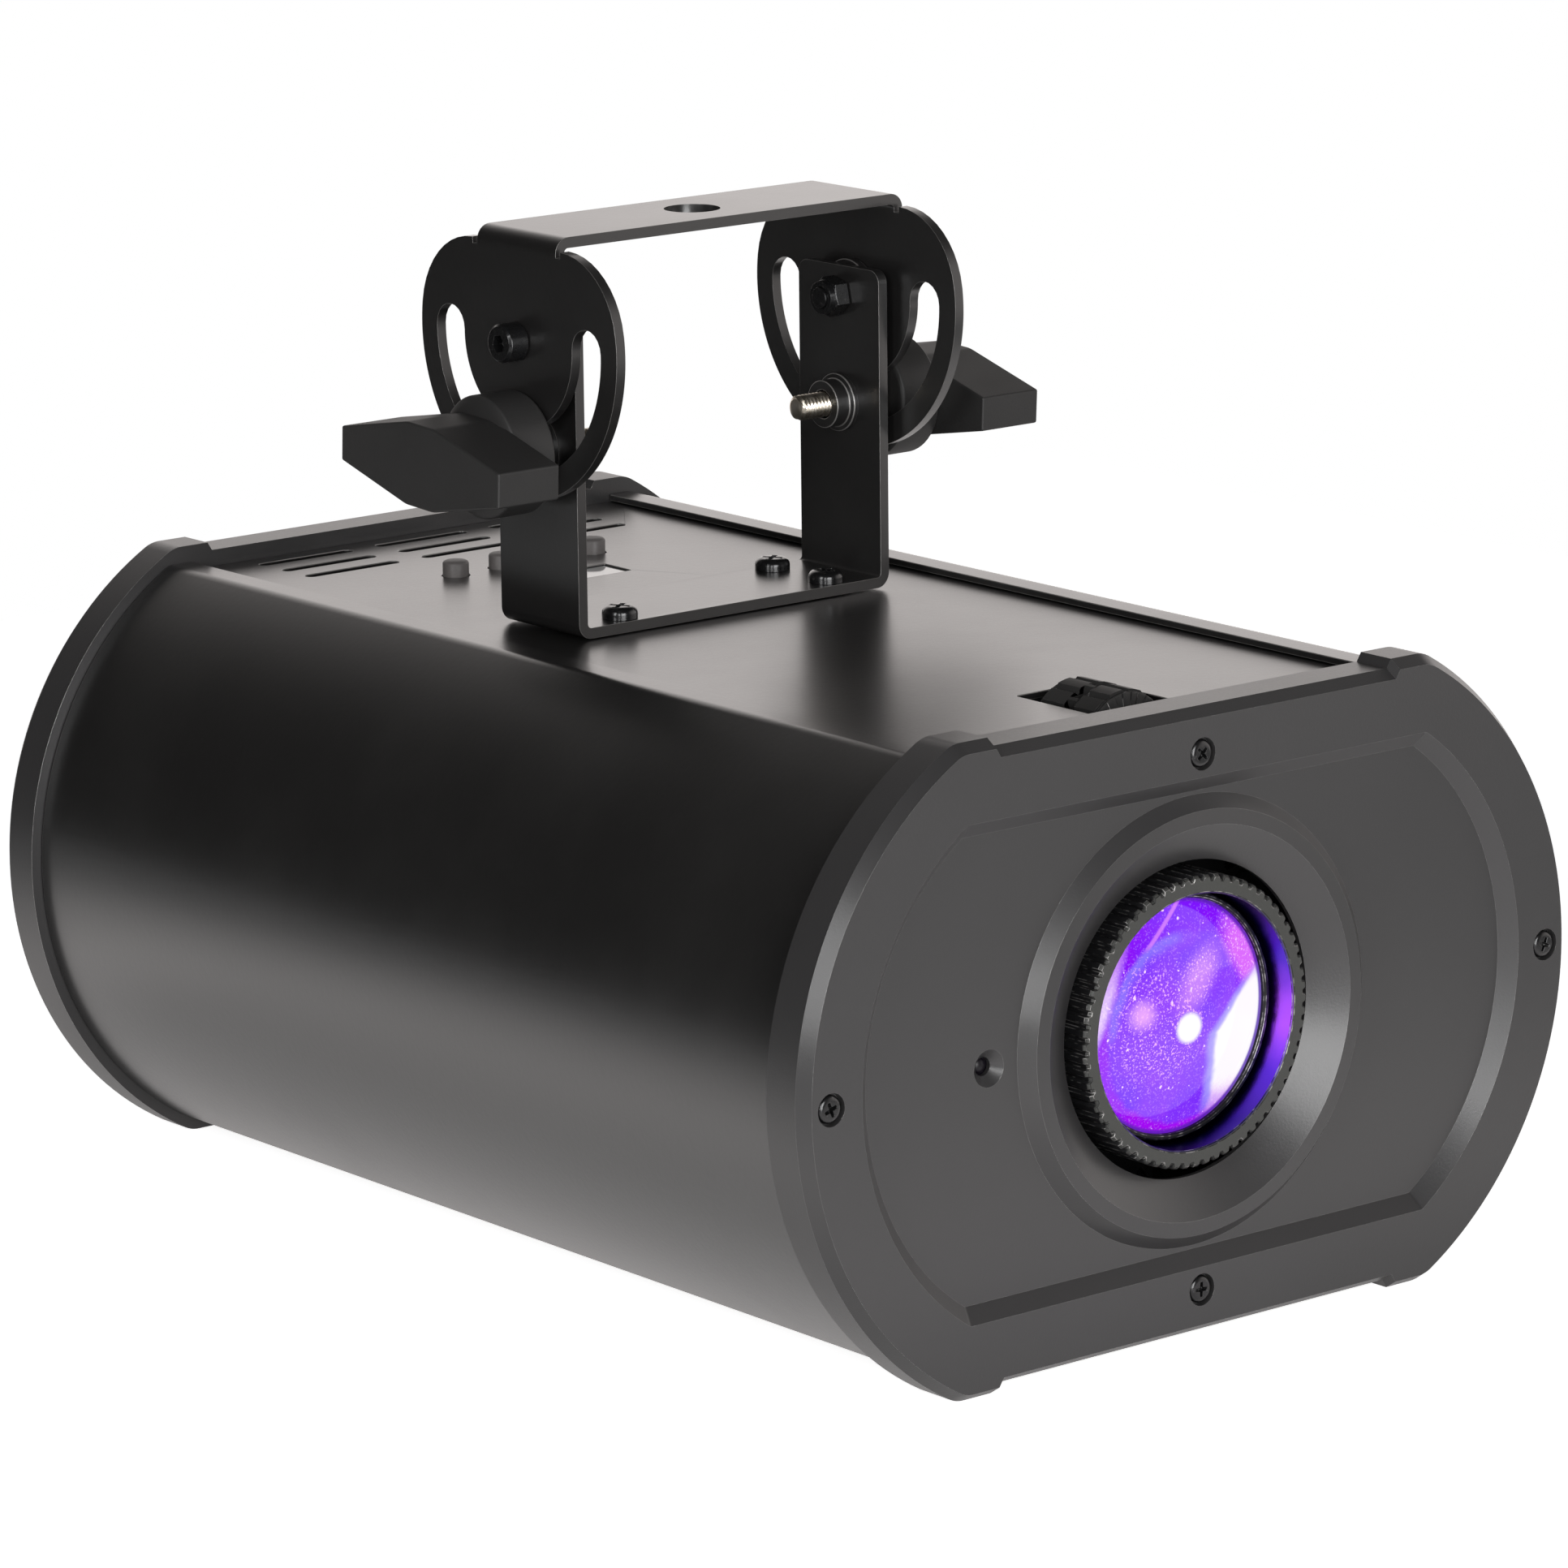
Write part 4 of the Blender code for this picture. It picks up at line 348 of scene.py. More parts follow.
bezel_plastic = finished("moulded_charcoal", charcoal_grain, IOR=1.58, Coat_Weight=0.4, Coat_Roughness=0.22)
# Edges come out of the tool smoother than the faces. Their much paler colour is a painted highlight, which
# draws fine bright lines along them.
smooth_edge_painted_highlight = mottled(310, (0.50, 0.49, 0.48), (0.80, 0.79, 0.77), 0.22, 0.16)
bezel_edge_highlight = finished("charcoal_edge_painted_highlight", smooth_edge_painted_highlight, Metallic=0.8, IOR=1.6)


def bezel_shell(bm, place):
    """Outer walls and screw wells. Returns the loops that bound the face and those of the back."""
    outline = bezel_outline(0)
    chamfered = bezel_outline(chamfer_width)
    sides = tube(bm, place, ((outline, bezel_depth), (outline, chamfer_depth), (chamfered, 0)))
    faces = [sides[-1]]
    backs = [sides[0]]
    for x, z in bezel_screws:
        well = circle(well_radius, 32, x, z)
        hole = circle(screw_bore, 32, x, z)
        rings = tube(bm, place, ((well, 0), (well, well_depth), (hole, well_depth), (hole, bezel_depth)))
        faces.append(rings[0])
        backs.append(rings[-1])
    return faces, backs


bm = bmesh.new()
place = facing_front()
faces, backs = bezel_shell(bm, place)
upper_edge = barrel(recess_radius, recess_half_height, recess_fillet)
lower_edge = barrel(recess_radius - recess_slope, recess_half_height - recess_slope, recess_fillet)
edge, foot = tube(bm, place, ((upper_edge, 0), (lower_edge, recess_depth)))
cap(bm, *faces, edge)
surround = [(surround_foot, recess_depth), (surround_outer, surround_sag), (surround_inner, 0)]
surround += [(funnel_mouth, funnel_depth), (funnel_mouth, bezel_wall_depth)]
ring = tube(bm, place, rounds(surround, 120))
cone = [(sensor_cone, recess_depth), (sensor_bore, recess_depth + sensor_cone_depth)]
cone.append((sensor_bore, bezel_wall_depth))
sensor = tube(bm, place, rounds(cone, 32, sensor_x))
cap(bm, foot, ring[0], sensor[0])
hollow = barrel(bezel_radius - rim_width, flat_half_height - rim_width, recess_fillet)
mouth, floor_edge = tube(bm, place, ((hollow, bezel_depth), (hollow, bezel_wall_depth)))
cap(bm, floor_edge, ring[-1], sensor[-1])
cap(bm, *backs, mouth)
# The bezel's rounded edges take the paler edge finish, a painted highlight.
moulding = {"finish": bezel_plastic, "edge_finish": bezel_edge_highlight, "edge": 0.00045, "turn": 14}
moulding.update({"body": "housing", "slot": "bezel_plastic"})
piece("front_bezel_moulding", bm, **moulding, stands_for=["front_bezel"])

# Bezel screws: eight pan heads with a cross recess, four in the wells of each bezel.
# Blackened steel, cold-headed, so the recess has soft edges and the crown a slight shine.
bezel_head = {"radius": 0.003, "rise": 0.0016, "flat": 0.0018, "reach": 0.0016}
bezel_shank = {"shank": 0.0015, "length": 0.009}
head_sink = 0.0003


def black_oxide(place):
    """Oxide film with thin rubbed patches where the driver and the washer turn."""
    patch = place.noise(900, 3.0, 0.6)
    rub = patch.rise(0.60, 0.78)
    return {
        "Base Color": rub.between((0.016, 0.016, 0.017), (0.10, 0.098, 0.095)),
        "Roughness": 0.20 + 0.18 * patch,
        "Normal": patch.bumped(0.00003, 0.4),
    }


black_steel = finished("black_oxide_steel", black_oxide, Metallic=0.6, Coat_Weight=0.8, Coat_Roughness=0.14)
blackened = {"finish": black_steel, "body": "housing", "slot": "black_steel"}


def cross_head(bm, place, radius, rise, flat, reach, shank, length):
    """A pan head with a cross recess in its flat middle, standing up along the place's own axis."""
    shoulder = rise * 0.42
    crown = [(radius, 0), (radius, shoulder)]
    for step in range(1, 7):
        turn = pi / 2 * step / 6
        crown.append((flat + (radius - flat) * cos(turn), shoulder + (rise - shoulder) * sin(turn)))
    rings = tube(bm, place, rounds(crown, 32))
    half = reach * 0.2
    nook = half * 1.3
    arms = [(reach, -half), (reach, half), (nook, nook), (half, reach), (-half, reach), (-nook, nook)]
    arms += [(-u, -v) for u, v in arms]
    narrow = [(u * 0.7, v * 0.7) for u, v in arms]
    recess = tube(bm, place, ((arms, rise), (narrow, rise * 0.25)))
    cap(bm, rings[-1], recess[0])
    bm.faces.new(recess[-1])
    rod = tube(bm, place, [(circle(radius, 32), 0), (circle(shank, 24), 0), (circle(shank, 24), -length)])
    bm.faces.new(rod[-1])
    bmesh.ops.remove_doubles(bm, verts=bm.verts, dist=1e-6)


for number, (x, z) in enumerate(bezel_screws, 1):
    for end, facing in (("front", facing_front), ("rear", facing_rear)):
        seat = facing(well_depth - head_sink, x, z)
        outward = seat @ Matrix.Rotation(pi, 4, "X") @ Matrix.Rotation(radians(23 * number), 4, "Z")
        bm = bmesh.new()
        cross_head(bm, outward, **bezel_head, **bezel_shank)
        stands_for = [f"front_screw_{number}"] if end == "front" else ()
        piece(f"{end}_bezel_screw_{number}", bm, **blackened, stands_for=stands_for, edge=0.00012)

# Rear bezel: the same moulding with a wide opening, whose inner ledge holds the rear plate.
# Its four screws are the ones made above.
opening_rim = 0.013
opening_fillet = 0.002
plate_rim = 0.0095
plate_ledge = 0.0073

bm = bmesh.new()
place = facing_rear()
faces, backs = bezel_shell(bm, place)
opening = barrel(bezel_radius - opening_rim, recess_half_height, opening_fillet)
seat = barrel(bezel_radius - plate_rim, flat_half_height - rim_width, opening_fillet)
rings = tube(bm, place, ((opening, 0), (opening, plate_ledge), (seat, plate_ledge), (seat, bezel_depth)))
cap(bm, *faces, rings[0])
cap(bm, *backs, rings[-1])
piece("rear_bezel_moulding", bm, **moulding, stands_for=["rear_bezel"])

# Side shells: two rolled steel sheets whose lips lie over the edges of the top and bottom panels.
# The sheet is pressed, then powder coated a satin black.
sheet = 0.0015
shell_radius = 0.0755
shell_roll = 0.005
lip_top = 0.0651
lip_edge = 0.0605
shell_gap = 0.0003
shell_front = bezel_depth + shell_gap
shell_length = body_length - 2 * shell_front


def powder_coat_skin(place):
    """The slight orange peel of a baked coat, with dust-fine specks and faint handling marks."""
    peel = place.noise(650, 2.0, 0.45)
    speck = place.noise(4200, 2.0, 0.7)
    hand = place.noise(17, 3.0, 0.6)
    marks = (hand * 0.7 + speck * 0.3).rise(0.42, 0.72)
    return {
        "Base Color": marks.between((0.0105, 0.0100, 0.0100), (0.0165, 0.0158, 0.0155)),
        "Roughness": 0.30 + 0.06 * marks + 0.05 * speck,
        "Normal": (0.75 * peel + 0.25 * speck).bumped(0.00009, 0.35),
    }


gloss = {"Coat_Weight": 1.0, "Coat_Roughness": 0.25, "Coat_IOR": 1.6, "IOR": 1.55}
powder_coat = finished("satin_powder_coat", powder_coat_skin, **gloss)
# On a cut edge the powder draws back, and the thin coat shines a little more. Its much paler colour there is
# a painted highlight.
thin_coat_painted_highlight = mottled(260, (0.16, 0.155, 0.15), (0.32, 0.31, 0.30), 0.24, 0.14)
coat_edge_highlight = finished("powder_coat_edge", thin_coat_painted_highlight, Metallic=0.5, **gloss)
# Every coated piece takes this edge finish, so its rounded edges carry the painted highlight.
coated = {"finish": powder_coat, "slot": "black_powder_coat", "edge_finish": coat_edge_highlight}


def shell_profile(side, radius, half_height, roll):
    half = barrel_quarter(radius, half_height, roll, 34, 8) + [(lip_edge, half_height)]
    whole = [(u, -v) for u, v in reversed(half)] + half[1:]
    return [(side * u, v) for u, v in whole]


both_sides = (("left", -1), ("right", 1))

for name, side in both_sides:
    outside = shell_profile(side, shell_radius, lip_top, shell_roll)
    inside = shell_profile(side, shell_radius - sheet, lip_top - sheet, shell_roll - sheet)
    path = outside + inside[::-1]
    bm = bmesh.new()
    ends = tube(bm, facing_front(shell_front), ((path, 0), (path, shell_length)))
    cap(bm, ends[0])
    cap(bm, ends[1])
    stands_for = [f"{name}_side_shell"]
    piece(f"{name}_rolled_side", bm, body="housing", **coated, stands_for=stands_for, edge=0.0002, turn=30)

# Top and bottom panels: flat steel sheets with punched vents, coated with the rest of the housing.
# The top one also has the thumb wheel's slot, the display's opening and the holes of buttons and yoke.
panel_top = 0.0633
panel_half_width = 0.0645
vent = (0.026, 0.003)
vent_columns = (-0.033, 0, 0.033)
vent_pitch = 0.009
top_vents_depth = 0.2517
bottom_vents_depth = 0.148
button_places = (-0.01965, -0.00655, 0.00655, 0.01965)
button_depth = 0.230
button_hole = 0.0033
display_depth = 0.2125
display_hole = (0.027, 0.010)
wheel_slot = (0.0220, 0.0245)
wheel_slot_middle = (0.0017, 0.03575)
bracket_depth = 0.1665
screw_hole = 0.0023
yoke_screws = [(a * 0.0293, b * 0.0095) for a in (-1, 1) for b in (-1, 1)]


def lying(z, x=0, depth=0):
    """u right, v towards the rear, built up along Z, z counted from the lens axis."""
    return placed((x, depth - body_length / 2, axis_height + z), (1, 0, 0), (0, 1, 0), (0, 0, 1))


def rectangle(width, height, center_u=0, center_v=0, radius=0.0, steps=6):
    corners = ((1, 1), (-1, 1), (-1, -1), (1, -1))
    if not radius:
        return [(center_u + a * width / 2, center_v + b * height / 2) for a, b in corners]
    path = []
    for number, (a, b) in enumerate(corners):
        corner_u = center_u + a * (width / 2 - radius)
        corner_v = center_v + b * (height / 2 - radius)
        path += arc(radius, number * pi / 2, (number + 1) * pi / 2, steps, corner_u, corner_v)
    return path


def slot(length, width, center_u, center_v, steps=9):
    reach = (length - width) / 2
    ahead = arc(width / 2, -pi / 2, pi / 2, steps, center_u + reach, center_v)
    return ahead + arc(width / 2, pi / 2, 3 * pi / 2, steps, center_u - reach, center_v)


def punched(bm, place, thickness, outline, holes):
    """A flat sheet with holes right through it."""
    lower = []
    upper = []
    for path in [outline, *holes]:
        low, high = tube(bm, place, ((path, 0), (path, thickness)))
        lower.append(low)
        upper.append(high)
    cap(bm, *lower)
    cap(bm, *upper)


def vents(first_depth):
    rows = [first_depth + vent_pitch * number for number in range(3)]
    return [slot(*vent, x, depth) for x in vent_columns for depth in rows]


panel = rectangle(2 * panel_half_width, shell_length, 0, body_length / 2)
holes = vents(top_vents_depth)
holes += [circle(button_hole, 32, x, button_depth) for x in button_places]
holes.append(rectangle(*display_hole, 0, display_depth, radius=0.0004))
holes.append(rectangle(*wheel_slot, *wheel_slot_middle, radius=0.0006))
holes += [circle(screw_hole, 20, x, bracket_depth + y) for x, y in yoke_screws]
bm = bmesh.new()
punched(bm, lying(panel_top - sheet), sheet, panel, holes)
piece("top_punched_panel", bm, body="housing", **coated, stands_for=["top_panel"], edge=0.00022)
bm = bmesh.new()
punched(bm, lying(-panel_top), sheet, panel, vents(bottom_vents_depth))
piece("bottom_punched_panel", bm, body="housing", **coated, stands_for=["bottom_panel"], edge=0.00022)

# Lower yoke: a 2.4 mm steel strap bent into a U and coated, screwed down through the top panel.
# Inside each upright a round flanged nut is welded on for the clamp stud, and two spacer rings outside.
strap_half = 0.014
steel = 0.0024
bend = 0.0034
yoke_underside = 0.0636
yoke_half_width = 0.044
yoke_top = 0.1353
yoke_corner = 0.003
pivot_height = 0.1284
pivot_hole = 0.0027
clamp_height = 0.1042
clamp_hole = 0.0034
spacer_radius = 0.008
spacer_rise = 0.002
spacer_bore = 0.0035
nut_bore = 0.0032
nut_flange = 0.0066
nut_flange_height = 0.0013
nut_body = 0.0054
nut_body_from = 0.0016
nut_length = 0.0052
weld_gap = 0.0002


def sideways(x, side, z=0):
    """u towards the rear, v up, built up outward on the given side of the brackets."""
    y = bracket_depth - body_length / 2
    return placed((x, y, axis_height + z), (0, 1, 0), (0, 0, 1), (side, 0, 0))


def bent_strap(bm, half_width, flat_at, towards, side_path, side_holes, flat_holes):
    """Two side plates, two bends and the flat between them. The side path starts and ends at the bend."""
    last = {}
    for side in (1, -1):
        places = [sideways(side * x, side) for x in (half_width, half_width - steel)]
        outer, inner = [loop(bm, side_path, 0, place) for place in places]
        wall(bm, outer, inner, closed=False)
        outer_rings = [outer]
        inner_rings = [inner]
        for path in side_holes:
            pair = [loop(bm, path, 0, place) for place in places]
            wall(bm, *pair)
            outer_rings.append(pair[0])
            inner_rings.append(pair[1])
        cap(bm, *outer_rings)
        cap(bm, *inner_rings)
        section = [outer[0], outer[-1], inner[-1], inner[0]]
        hub = lying(flat_at + towards * bend, side * (half_width - bend), bracket_depth)
        for step in range(1, 9):
            turn = pi / 2 * step / 8
            following = []
            for radius, y in ((bend, 1), (bend, -1), (bend - steel, -1), (bend - steel, 1)):
                corner = (side * radius * cos(turn), y * strap_half, -towards * radius * sin(turn))
                following.append(bm.verts.new(hub @ Vector(corner)))
            wall(bm, section, following)
            section = following
        last[side] = section
    here, there = last[1], last[-1]
    near = [loop(bm, path, flat_at, lying(0, 0, bracket_depth)) for path in flat_holes]
    far = [loop(bm, path, flat_at + towards * steel, lying(0, 0, bracket_depth)) for path in flat_holes]
    for pair in zip(near, far):
        wall(bm, *pair)
    cap(bm, [here[0], here[1], there[1], there[0]], *near)
    cap(bm, [here[3], here[2], there[2], there[3]], *far)
    bm.faces.new((here[0], there[0], there[3], here[3]))
    bm.faces.new((here[1], there[1], there[2], here[2]))


side_path = [(strap_half, yoke_underside + bend)]
side_path += arc(yoke_corner, 0, pi / 2, 8, strap_half - yoke_corner, yoke_top - yoke_corner)
side_path += arc(yoke_corner, pi / 2, pi, 8, yoke_corner - strap_half, yoke_top - yoke_corner)
side_path.append((-strap_half, yoke_underside + bend))
holes = [circle(pivot_hole, 24, 0, pivot_height), circle(clamp_hole, 24, 0, clamp_height)]
flat_holes = [circle(screw_hole, 20, *spot) for spot in yoke_screws]
bm = bmesh.new()
bent_strap(bm, yoke_half_width, yoke_underside, 1, side_path, holes, flat_holes)
piece("yoke_strap", bm, body="housing", **coated, stands_for=["yoke_base"], edge=0.0003)

for name, side in both_sides:
    bm = bmesh.new()
    seat = sideways(side * (yoke_half_width - steel + weld_gap), -side, clamp_height)
    profile = [(nut_bore, 0), (nut_flange, 0), (nut_flange, nut_flange_height), (nut_body, nut_body_from)]
    profile += [(nut_body, nut_length), (nut_bore, nut_length)]
    hoop(bm, seat, rounds(profile, 40))
    for height, bore in ((pivot_height, pivot_hole), (clamp_height, spacer_bore)):
        spacer = sideways(side * yoke_half_width, side, height)
        profile = ((bore, 0), (spacer_radius, 0), (spacer_radius, spacer_rise), (bore, spacer_rise))
        hoop(bm, spacer, rounds(profile, 40))
    piece(f"{name}_weld_nut", bm, body="housing", **coated, edge=0.00022)

# Yoke screws: four pan heads with a cross recess, larger than those of the bezels, in black oxide.
# Their shanks go down through the yoke and the panel.
yoke_head = {"radius": 0.004, "rise": 0.0028, "flat": 0.0023, "reach": 0.0022}
yoke_shank = {"shank": 0.0019, "length": 0.007}

for number, (x, y) in enumerate(yoke_screws, 1):
    seat = lying(yoke_underside + steel, x, bracket_depth + y)
    bm = bmesh.new()
    cross_head(bm, seat @ Matrix.Rotation(radians(31 * number), 4, "Z"), **yoke_head, **yoke_shank)
    piece(f"yoke_pan_screw_{number}", bm, **blackened, stands_for=[f"yoke_screw_{number}"], edge=0.00015)

# Hanger: the upper bracket, cut from 2.4 mm steel with a slotted disc at each end and bent into a U.
# A narrow relief is cut beside each bend. The bar has the hole for the clamp's M12 bolt.
hanger_half_width = 0.0487
hanger_top = 0.1524
disc_radius = 0.0348
shoulder_rise = 0.0212
disc_fillet = 0.019
slot_radius = 0.0242
slot_half_width = 0.005
slot_sweep = radians(91)
relief_width = 0.0016
relief_depth = 0.0008
truss_bolt_hole = 0.00625

shoulder = pivot_height + shoulder_rise
corner_v = shoulder - pivot_height - disc_fillet
corner_u = sqrt((disc_radius - disc_fillet) ** 2 - corner_v**2)
turn = atan2(corner_v, corner_u)
start = hanger_top - bend
outer = strap_half + relief_width
notch = start - relief_depth
rear = [(strap_half, start), (strap_half, notch), (outer, notch), (outer, shoulder)]
rear += arc(disc_fillet, pi / 2, turn, 10, corner_u, pivot_height + corner_v)
rear += arc(disc_radius, turn, -pi / 2, 44, 0, pivot_height)[1:]
side_path = rear + [(-u, v) for u, v in reversed(rear)][1:]
low = -pi / 2 - slot_sweep
high = -pi / 2 + slot_sweep
high_end = (slot_radius * cos(high), slot_radius * sin(high))
low_end = (slot_radius * cos(low), slot_radius * sin(low))
arc_slot = arc(slot_radius + slot_half_width, low, high, 60)
arc_slot += arc(slot_half_width, high, high + pi, 10, *high_end)[1:-1]
arc_slot += arc(slot_radius - slot_half_width, high, low, 60)
arc_slot += arc(slot_half_width, low + pi, low + 2 * pi, 10, *low_end)[1:-1]
arc_slot = [(u, v + pivot_height) for u, v in arc_slot]
holes = [circle(pivot_hole, 24, 0, pivot_height), arc_slot]
bm = bmesh.new()
bent_strap(bm, hanger_half_width, hanger_top, -1, side_path, holes, [circle(truss_bolt_hole, 48)])
piece("hanger_strap", bm, body="hanger", **coated, stands_for=["hanger"], edge=0.0003)

# Pivot bolts: M5 cap screws with a hexagon socket, each with a lock nut on the inner side of the yoke.
# The nut's round collar holds the ring that grips the thread. All black oxide.
bolt_gap = 0.0003
bolt_face = hanger_half_width + bolt_gap
nut_face = yoke_half_width - steel - bolt_gap
bolt_radius = 0.0024
bolt_length = 0.0132
bolt_head = 0.0043
bolt_head_top = 0.005
bolt_head_edge = 0.0006
socket_reach = 0.0021
socket_floor = 0.0024
lock_bore = 0.0025
lock_corner = 0.0046
lock_flats = 0.0034
lock_collar = 0.0039
lock_lean = 0.0002
lock_top = 0.005

bolt = [(bolt_radius, -bolt_length), (bolt_radius, 0), (bolt_head, 0)]
bolt += [(bolt_head, bolt_head_top - bolt_head_edge), (bolt_head - bolt_head_edge, bolt_head_top)]
socket_sides = circle(socket_reach, 6)
hexagon = circle(lock_corner, 6)
lock = [(circle(lock_bore, 36), 0), (hexagon, 0), (hexagon, lock_flats)]
collar = [(lock_collar, lock_flats + lock_lean), (lock_collar - lock_lean, lock_top), (lock_bore, lock_top)]
lock += rounds(collar, 36)
for name, side in both_sides:
    bm = bmesh.new()
    head = sideways(side * bolt_face, side, pivot_height) @ Matrix.Rotation(radians(11 * side), 4, "Z")
    rings = tube(bm, head, rounds(bolt, 48))
    bm.faces.new(rings[0])
    socket = tube(bm, head, ((socket_sides, bolt_head_top), (socket_sides, socket_floor)))
    cap(bm, rings[-1], socket[0])
    bm.faces.new(socket[-1])
    piece(f"{name}_socket_bolt", bm, **blackened, stands_for=[f"pivot_bolt_{name}"], edge=0.00012)
    seat = sideways(side * nut_face, -side, pivot_height)
    bm = bmesh.new()
    hoop(bm, seat @ Matrix.Rotation(radians(17), 4, "Z"), lock)
    piece(f"{name}_lock_nut", bm, **blackened, stands_for=[f"pivot_nut_{name}"], edge=0.00015)

# Clamp knobs: a round collar and a tapered T grip moulded in one from matt black plastic.
# The knob bears on the hanger's disc and is moulded on a zinc-plated M6 stud that screws into the weld nut.
collar_radius = 0.0136
collar_length = 0.0115
collar_edge = 0.0006
collar_chamfer = (0.002, 0.001)
grip_reach = 0.0283
grip_tip = 0.0038
grip_middle = 0.0092
grip_shoulder = 0.0046
grip_thickness = 0.0155
grip_sink = 0.0008
shoulder_radius = 0.009
grip_turn = radians(3)
stud_radius = 0.0029
stud_head = 0.0102
stud_shows = 0.0078
stud_point = 0.0007
thread_pitch = 0.001
thread_depth = 0.00042
boss_depth = 0.005
socket_radius = 0.0032
socket_depth = 0.0105


def matt_moulding(place):
    """Fine spark-eroded grain, with the duller and shinier clouds that a cheap moulding has."""
    grain = place.noise(2300, 3.0, 0.6)
    cloud = place.noise(60, 2.0)
    return {
        "Base Color": (0.5 * grain + 0.5 * cloud).between((0.018, 0.0175, 0.0175), (0.034, 0.033, 0.0325)),
        "Roughness": 0.42 + 0.12 * cloud + 0.06 * grain,
        "Normal": grain.bumped(0.00005, 0.5),
    }


black_plastic = finished("matt_black_moulding", matt_moulding, IOR=1.5)
# Bright plating, a little yellow from its passivation, with dull patches.
zinc_plate = mottled(420, (0.80, 0.70, 0.54), (0.86, 0.82, 0.76), 0.20, 0.22, bump=(0.00002, 0.3))
zinc_steel = finished("bright_zinc", zinc_plate, Metallic=1.0)

inward, along = collar_chamfer
collar = [(socket_radius, socket_depth), (socket_radius, 0), (collar_radius - collar_edge, 0)]
collar += [(collar_radius, collar_edge), (collar_radius, collar_length - along)]
collar.append((collar_radius - inward, collar_length))
lean = atan2(grip_middle - grip_tip, grip_reach - grip_shoulder)
hub_u = grip_shoulder - shoulder_radius * sin(lean) * 0.4
quarter = [(grip_reach, grip_tip)]
quarter += arc(shoulder_radius, pi / 2 - lean, pi / 2, 5, hub_u, grip_middle - shoulder_radius)
half = quarter + [(-u, v) for u, v in reversed(quarter)]
whole = half + [(-u, -v) for u, v in half]
lead = cos(grip_turn)
lag = sin(grip_turn)
grip = [(u * lead - v * lag, u * lag + v * lead) for u, v in whole]

tail = yoke_half_width - steel - boss_depth - stud_shows - bolt_face
length = stud_head - tail
row_count = round(length / thread_pitch * 6)
thread = []
for row in range(row_count + 1):
    height = length * row / row_count
    path = []
    for spoke in range(36):
        share = (height / thread_pitch - spoke / 36) % 1.0
        depth = thread_depth * abs(2 * share - 1) + max(0.0, stud_point - height) * 0.8
        reach = stud_radius - depth
        path.append((reach * cos(2 * pi * spoke / 36), reach * sin(2 * pi * spoke / 36)))
    thread.append((path, tail + height))

for name, side in both_sides:
    knob = sideways(side * bolt_face, side, clamp_height)
    body = f"{name}_knob"
    bm = bmesh.new()
    solid(bm, knob, rounds(collar, 64))
    solid(bm, knob, ((grip, collar_length - grip_sink), (grip, collar_length + grip_thickness)))
    piece(f"{name}_t_knob", bm, black_plastic, body, "black_plastic", [f"clamp_knob_{name}"], edge=0.0009)
    bm = bmesh.new()
    solid(bm, knob, thread)
    piece(f"{name}_threaded_stud", bm, zinc_steel, body, "zinc_steel", [f"clamp_stud_{name}"], turn=50)

# Focus ring: a black moulding turned by the thumb wheel. Its nose is knurled for the fingers,
# and the gear behind the front bezel has 59 involute teeth. Its helical grooves can't be seen from any side,
# so its bore is drawn plain.
tooth_module = 0.0015
ring_teeth = 59
wheel_teeth = 14
wheel_x = 0.0017
wheel_z = sqrt(((ring_teeth + wheel_teeth) * tooth_module / 2) ** 2 - wheel_x**2)
mesh_angle = atan2(wheel_z, wheel_x)
pressure_angle = radians(20)
backlash = 0.00028
ring_bore = 0.0273
ring_front = 0.0016
ring_rear = 0.050
ring_edge = 0.0004
ring_tail = 0.030
knurl_count = 68
knurl_crest = 0.0313
knurl_groove = 0.0305
lip_share = 0.982
lip_depth = 0.0007
gear_front = 0.0328
gear_rear = 0.0352


def gear_outline(teeth, tooth_at, rows):
    """Involute teeth, one of them centred at the angle tooth_at, with a rounded run into the roots."""
    pitch = teeth * tooth_module / 2
    base = pitch * cos(pressure_angle)
    root = pitch - 1.25 * tooth_module
    lowest = max(root, base)
    flank = [lowest + (pitch + tooth_module - lowest) * row / rows for row in range(rows + 1)]
    if root < lowest:
        flank = [root] + flank
    path = []
    for tooth in range(teeth):
        middle = tooth_at + 2 * pi * tooth / teeth
        widths = []
        for radius in flank:
            turn = acos(min(1, base / radius))
            gain = sin(pressure_angle) / cos(pressure_angle) - pressure_angle - sin(turn) / cos(turn) + turn
            widths.append(pi / (2 * teeth) - backlash / (4 * pitch) + gain)
        if root < lowest:
            widths[0] = widths[1] * 1.18
        polar = [(radius, middle - width) for radius, width in zip(flank, widths)]
        polar += [(radius, middle + width) for radius, width in zip(flank[::-1], widths[::-1])]
        path += [(radius * cos(angle), radius * sin(angle)) for radius, angle in polar]
    return path


